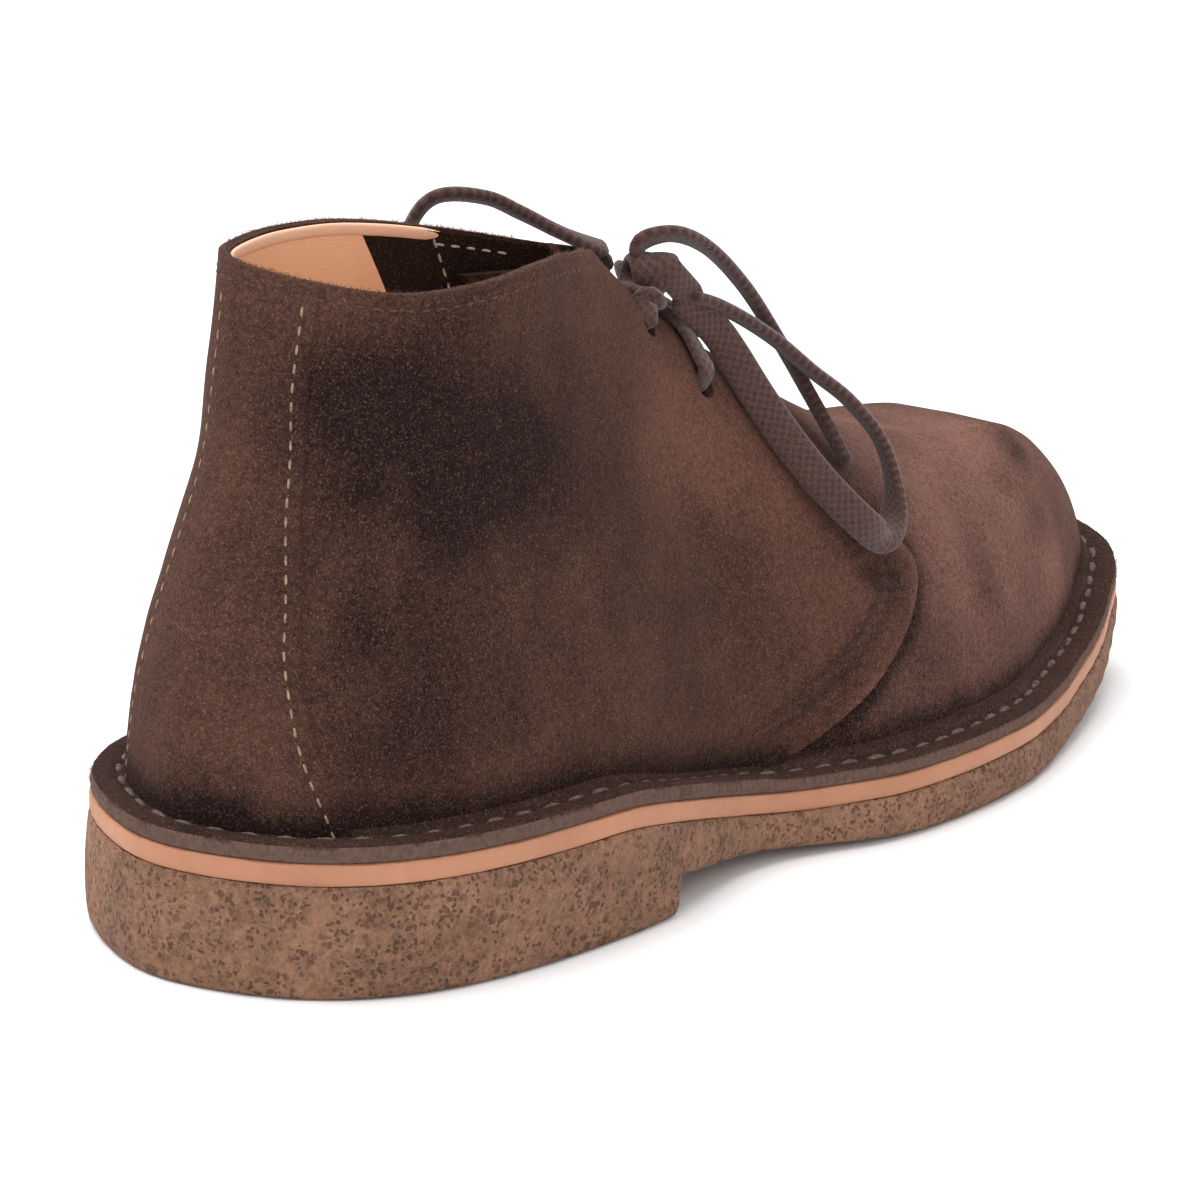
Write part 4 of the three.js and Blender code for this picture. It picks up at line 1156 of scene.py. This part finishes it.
def napToneAndPaintedShade(place, kind):
    """Each patch fades as one less the squared distance, squared. Painted shade darkens the suede
    over the last millimetres above the flange, where the flange's shadow falls, on the vamp in a
    band in front of the quarter's edge, where the edge's shadow falls, and along the quarter's two
    seam rows, in their dimples; the quarter's own cut rim is paler."""
    shade = np.zeros(len(place))
    for middle, reach, amount in napPatches:
        away = ((place - middle) ** 2).sum(1) / reach ** 2
        shade += amount * np.maximum(0, 1 - away) ** 2
    above = place[:, 2] - seatHeight(place[:, 1]) - upper["flangeHeight"]
    # painted shadow of the flange on the suede just above it
    shade -= 0.5 * (1 - ease(above, -0.5, 9.0)) * (kind != "flange")
    away, near = edgeAway(place), ease(place[:, 1], 122, 130)
    if kind == "vamp":
        # painted shadow of the quarter's raised edge on the vamp in front of it
        shade -= 0.62 * np.exp(-(away / 4.0) ** 2) * near
    if kind == "quarter":
        shade += 0.5 * np.exp(-(away / 1.5) ** 2) * near
        # painted shade in the dimples along the quarter's seam rows
        for seam in quarterSeams:
            shade -= 0.3 * np.exp(-((away - seam) / 0.8) ** 2) * ease(place[:, 1], 122, 140)
    return shade


def addShade(obj, kind):
    place = np.zeros(len(obj.data.vertices) * 3, np.float32)
    obj.data.vertices.foreach_get("co", place)
    shade = napToneAndPaintedShade(place.reshape(-1, 3) * 1000.0 + bootMiddle, kind)
    stored = obj.data.attributes.new("shade", "FLOAT", "POINT")
    stored.data.foreach_set("value", shade.astype(np.float32))


def suede(name, dark, light, lift=0.0):
    """Napped leather: blotches where the nap lies both ways, brushed streaks and fine grain, over
    the piece's stored nap tone and painted shade.
    """
    paint = Paint(name, Sheen_Weight=0.10, Sheen_Roughness=0.5,
                  Sheen_Tint=tone(150, 112, 98), Specular_IOR_Level=0.1)
    cloud = paint.noise(26.0, 3.0, 0.55).step(0.34, 0.68)
    brushed = paint.noise(1.0, 3.0, 0.6, paint.spread(150.0, 95.0, 60.0)).step(0.3, 0.7)
    nap = paint.noise(900.0, 3.0, 0.7)
    grain = paint.noise(2600.0, 2.0, 0.6)
    # the piece's stored nap tone and painted shade, which darkens the base colour where shadows
    # fall
    paintedShadeAndNapTone = paint.put("ShaderNodeAttribute", "Fac", {"attribute_name": "shade"})
    wander = paint.noise(60.0, 2.0, 0.5) + 0.5
    slow = 0.46 + lift + (cloud - 0.5) * 0.22 + (brushed - 0.5) * 0.14 + paintedShadeAndNapTone * wander
    slow = slow.reckon("MAXIMUM", 0.06)
    share = (slow + ((nap - 0.5) * 1.1 + (grain - 0.5) * 1.2) * (slow + 0.4)).clear()
    color = paint.mix(share, tone(*dark), tone(*light))
    color = paint.mix(grain.step(0.58, 0.7) * 0.22, color, tone(156, 120, 104))
    height = nap * 0.5 + grain * 0.35 + brushed * 0.25
    return paint, color, 0.97 - cloud * 0.06, height


def leather(name, base, deep, shine, grainScale=900.0):
    paint = Paint(name, Specular_IOR_Level=0.4)
    cloud = paint.noise(40.0, 3.0, 0.5).step(0.3, 0.7)
    grain = paint.put("ShaderNodeTexVoronoi", "Distance", {"feature": "DISTANCE_TO_EDGE"},
                      Vector=paint.object, Scale=grainScale)
    color = paint.mix(cloud * 0.5 + paint.noise(500.0) * 0.3, tone(*base), tone(*deep))
    return paint.finish(color, shine + cloud * 0.12, grain.step(0.0, 0.2), 0.00006, 0.5)


def crepe():
    """Natural crepe: pale brown with dark, reddish and olive specks, some of them open pits."""
    paint = Paint("crepe_skin", Specular_IOR_Level=0.3)
    cloud = paint.noise(60.0, 4.0, 0.6).step(0.3, 0.7)
    rind = paint.noise(520.0, 5.0, 0.72)
    crumb = paint.noise(1500.0, 3.0, 0.7)
    base = paint.mix((cloud * 0.5 + (rind - 0.5) * 1.5 + (crumb - 0.5) * 1.2 + 0.2).clear(),
                     tone(98, 68, 52), tone(158, 118, 94))
    bend = paint.put("ShaderNodeTexNoise", "Color", Vector=paint.object, Scale=700.0)
    shaken = paint.put("ShaderNodeVectorMath", 0, {"operation": "SCALE"}, Vector=bend, Scale=0.0016)
    where = paint.put("ShaderNodeVectorMath", 0, {"operation": "ADD"}, Vector=paint.object)
    paint.tree.links.new(shaken.socket, where.socket.node.inputs[1])
    pits = None
    for scale, size, color, share in ((330.0, 0.32, (70, 46, 34), 0.58),
                                      (520.0, 0.34, (104, 52, 40), 0.60),
                                      (480.0, 0.34, (112, 96, 62), 0.62),
                                      (900.0, 0.38, (76, 52, 40), 0.48)):
        cell = paint.put("ShaderNodeTexVoronoi", "Distance", Vector=where, Scale=scale)
        pick = paint.noise(scale * 0.22, 2.0, 0.6).step(share - 0.1, share + 0.02)
        spot = (1.0 - cell.step(size * 0.45, size)) * pick
        base = paint.mix(spot * 0.65, base, tone(*color))
        pits = spot if pits is None else pits + spot
    height = rind * 1.1 + crumb * 0.5 - pits.clear() * 1.2
    return paint.finish(base, 0.78 + cloud * 0.14, height, 0.0005, 1.0)


def weave():
    """Flat braid: two sets of threads cross at a slant, each a wave over the band's own width and
    length, and the darker gaps lie between them."""
    paint = Paint("lace_weave", Specular_IOR_Level=0.2, Sheen_Weight=0.25, Sheen_Roughness=0.5)
    place = paint.put("ShaderNodeUVMap", 0, {"uv_map": "weave"})
    split = paint.put("ShaderNodeSeparateXYZ", 0, Vector=place)
    across, along = split, Term(paint, split.socket.node.outputs[1])
    wave = 2 * math.pi / 1.9
    left = ((across + along) * wave).reckon("SINE")
    right = ((across - along) * wave).reckon("SINE")
    over = left.reckon("MAXIMUM", right) * 0.3 + left * right * 0.12 + 0.55
    fine = ((along * 2 + across) * (wave * 2.6)).reckon("SINE") * 0.08
    fuzz = paint.noise(2200.0, 2.0)
    share = (over * 0.75 + fine + (fuzz - 0.5) * 1.1).clear()
    color = paint.mix(share, tone(38, 24, 23), tone(98, 68, 62))
    return paint.finish(color, 0.88 + fuzz * 0.08, over + fine * 2 + fuzz * 0.5, 0.0003, 0.8)


def thread(name, base, deep):
    paint = Paint(name, Specular_IOR_Level=0.3)
    ply = paint.noise(1400.0, 2.0)
    color = paint.mix(ply.step(0.3, 0.75), tone(*deep), tone(*base))
    return paint.finish(color, 0.6 + ply * 0.2, ply, 0.0001)


def flangeSuede():
    """Dark suede on top and the paler cut edge of the leather round the outside."""
    paint, color, rough, height = suede("suede_flange", (22, 14, 13), (76, 52, 44), -0.08)
    facing = paint.put("ShaderNodeNewGeometry", "Normal")
    upward = paint.put("ShaderNodeSeparateXYZ", 2, Vector=facing)
    edge = 1.0 - (upward + (paint.noise(1200.0) - 0.5) * 0.5).step(0.25, 0.6)
    pale = paint.mix(paint.noise(800.0, 3.0, 0.7), tone(70, 52, 46), tone(122, 98, 88))
    return paint.finish(paint.mix(edge * 0.9, color, pale), rough, height, 0.0003, 0.8)


def tongueSuede():
    """Suede with the thin pink line of its cut along the top."""
    paint, color, rough, height = suede("suede_tongue", (28, 18, 17), (92, 66, 56))
    up = paint.put("ShaderNodeSeparateXYZ", 2, Vector=paint.object)
    line = up.step(0.1125, 0.1129)
    return paint.finish(paint.mix(line * 0.7, color, tone(176, 122, 104)), rough, height, 0.0003)


def plainSuede(name, dark, light, lift=0.0):
    paint, color, rough, height = suede(name, dark, light, lift)
    return paint.finish(color, rough, height, 0.00038, 0.9)


finishes = {
    "suede": plainSuede("suede_brown", (25, 16, 15), (100, 68, 57)),
    # A lighter copy of the suede for the vamp: painted highlight of the light from above on the
    # foot's top
    "vamp": plainSuede("suede_vamp_painted_highlight", (27, 17, 16), (128, 90, 80), -0.07),
    "panel": plainSuede("suede_panel", (25, 16, 15), (98, 67, 56)),
    "facing": plainSuede("suede_lining", (20, 14, 13), (60, 44, 38), -0.1),
    "flange": flangeSuede(),
    "tongue": tongueSuede(),
    "crepe": crepe(),
    "midsole": leather("midsole_edge", (186, 130, 98), (158, 106, 80), 0.5, 700.0),
    "lining": leather("lining_tan", (255, 204, 162), (246, 186, 144), 0.46),
    "fold": leather("lining_fold", (250, 206, 176), (238, 186, 154), 0.5),
    "lace": weave(),
    "hair": thread("hair_brown", (128, 100, 86), (80, 58, 48)),
    "beige": thread("thread_beige", (164, 142, 112), (110, 88, 68)),
    "brown": thread("thread_brown", (92, 70, 58), (52, 38, 32)),
    "dark": thread("thread_dark", (52, 36, 30), (26, 18, 16)),
    "gray": thread("thread_gray", (116, 100, 92), (56, 44, 40)),
    "pale": thread("thread_pale", (214, 204, 186), (140, 128, 112)),
}

# Finish, a slot name and the CAD nodes that each piece stands for
dressing = {
    "upper_vamp": ("vamp", "suede", ["upper"]),
    "upper_quarters": ("suede", "suede", ["upper"]),
    "upper_rear_panel": ("panel", "suede", ["upper"]),
    "upper_flange": ("flange", "suede", ["upper"]),
    "upper_lining": ("lining", "tan_leather", ["upper"]),
    "upper_facing_lining": ("facing", "suede", ["upper"]),
    "lining_fold": ("fold", "tan_leather", ["upper"]),
    "tongue_leather": ("tongue", "suede", ["tongue"]),
    "fuzz_collar": ("hair", "suede", []),
    "fuzz_flange": ("hair", "suede", []),
    "outsole_crepe": ("crepe", "crepe", ["outsole"]),
    "midsole_leather": ("midsole", "tan_leather", ["midsole"]),
    "stitches_collar": ("brown", "lace", []),
    "stitches_collar_back": ("brown", "lace", []),
    "stitches_rear_panel": ("beige", "lace", []),
    "stitches_quarter": ("dark", "lace", []),
    "stitches_flange": ("gray", "lace", []),
    "stitches_lining": ("pale", "lace", []),
    "lace_bar_band": ("lace", "lace", ["lace_bar"]),
    "lace_knot_band": ("lace", "lace", ["lace_knot"]),
    "lace_loop_lateral_band": ("lace", "lace", ["lace_loop_lateral"]),
    "lace_loop_medial_band": ("lace", "lace", ["lace_loop_medial"]),
    "lace_end_lateral_band": ("lace", "lace", ["lace_end_lateral"]),
    "lace_end_medial_band": ("lace", "lace", ["lace_end_medial"]),
}
for tool in tools.values():
    bpy.data.objects.remove(tool)
shaded = {"upper_vamp": "vamp", "upper_quarters": "quarter", "upper_rear_panel": "panel",
          "upper_flange": "flange", "upper_facing_lining": "panel", "tongue_leather": "panel"}
for name, kind in shaded.items():
    addShade(made[name], kind)
for name, (finish, slotName, stands) in dressing.items():
    obj = made[name]
    obj.data.materials.clear()
    obj.data.materials.append(finishes[finish])
    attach(obj, "root")
    if stands:
        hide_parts(*stands)
nodes["insole"].data.materials.clear()
nodes["insole"].data.materials.append(finishes["lining"])

for name, (line, far) in cords.items():
    path = (line - bootMiddle) / 1000
print("pieces finished and placed")


# Light and floor

studio = {
    "world": 0.72,
    "floor": 0.94,
    # Where each sun stands, how wide it looks in degrees and its strength
    "suns": [((-0.35, -0.25, 1.6), 60, 3.0), ((1.2, -1.0, 0.9), 60, 0.5)],
}
world = bpy.data.worlds.new("studio")
world.use_nodes = True
world.node_tree.nodes["Background"].inputs["Color"].default_value = (1, 1, 1, 1)
world.node_tree.nodes["Background"].inputs["Strength"].default_value = studio["world"]
bpy.context.scene.world = world
for k, (place, wide, strength) in enumerate(studio["suns"]):
    lamp = bpy.data.lights.new(f"sun{k}", "SUN")
    lamp.angle, lamp.energy = math.radians(wide), strength
    obj = bpy.data.objects.new(f"sun{k}", lamp)
    obj.location = place
    obj.rotation_euler = (-Vector(place)).to_track_quat("-Z", "Y").to_euler()
    bpy.context.scene.collection.objects.link(obj)
floorMesh = bpy.data.meshes.new("floor")
floorMesh.from_pydata([(-12, -12, 0), (12, -12, 0), (12, 12, 0), (-12, 12, 0)], [], [(0, 1, 2, 3)])
floor = makeObject("floor", floorMesh)
floorPaint = Paint("floor_white", Roughness=0.7)
floorPaint.feed(floorPaint.shader.inputs["Base Color"], (studio["floor"],) * 3 + (1,))
floorMesh.materials.append(floorPaint.material)
bpy.context.scene.view_settings.view_transform = "Standard"
print("studio set")
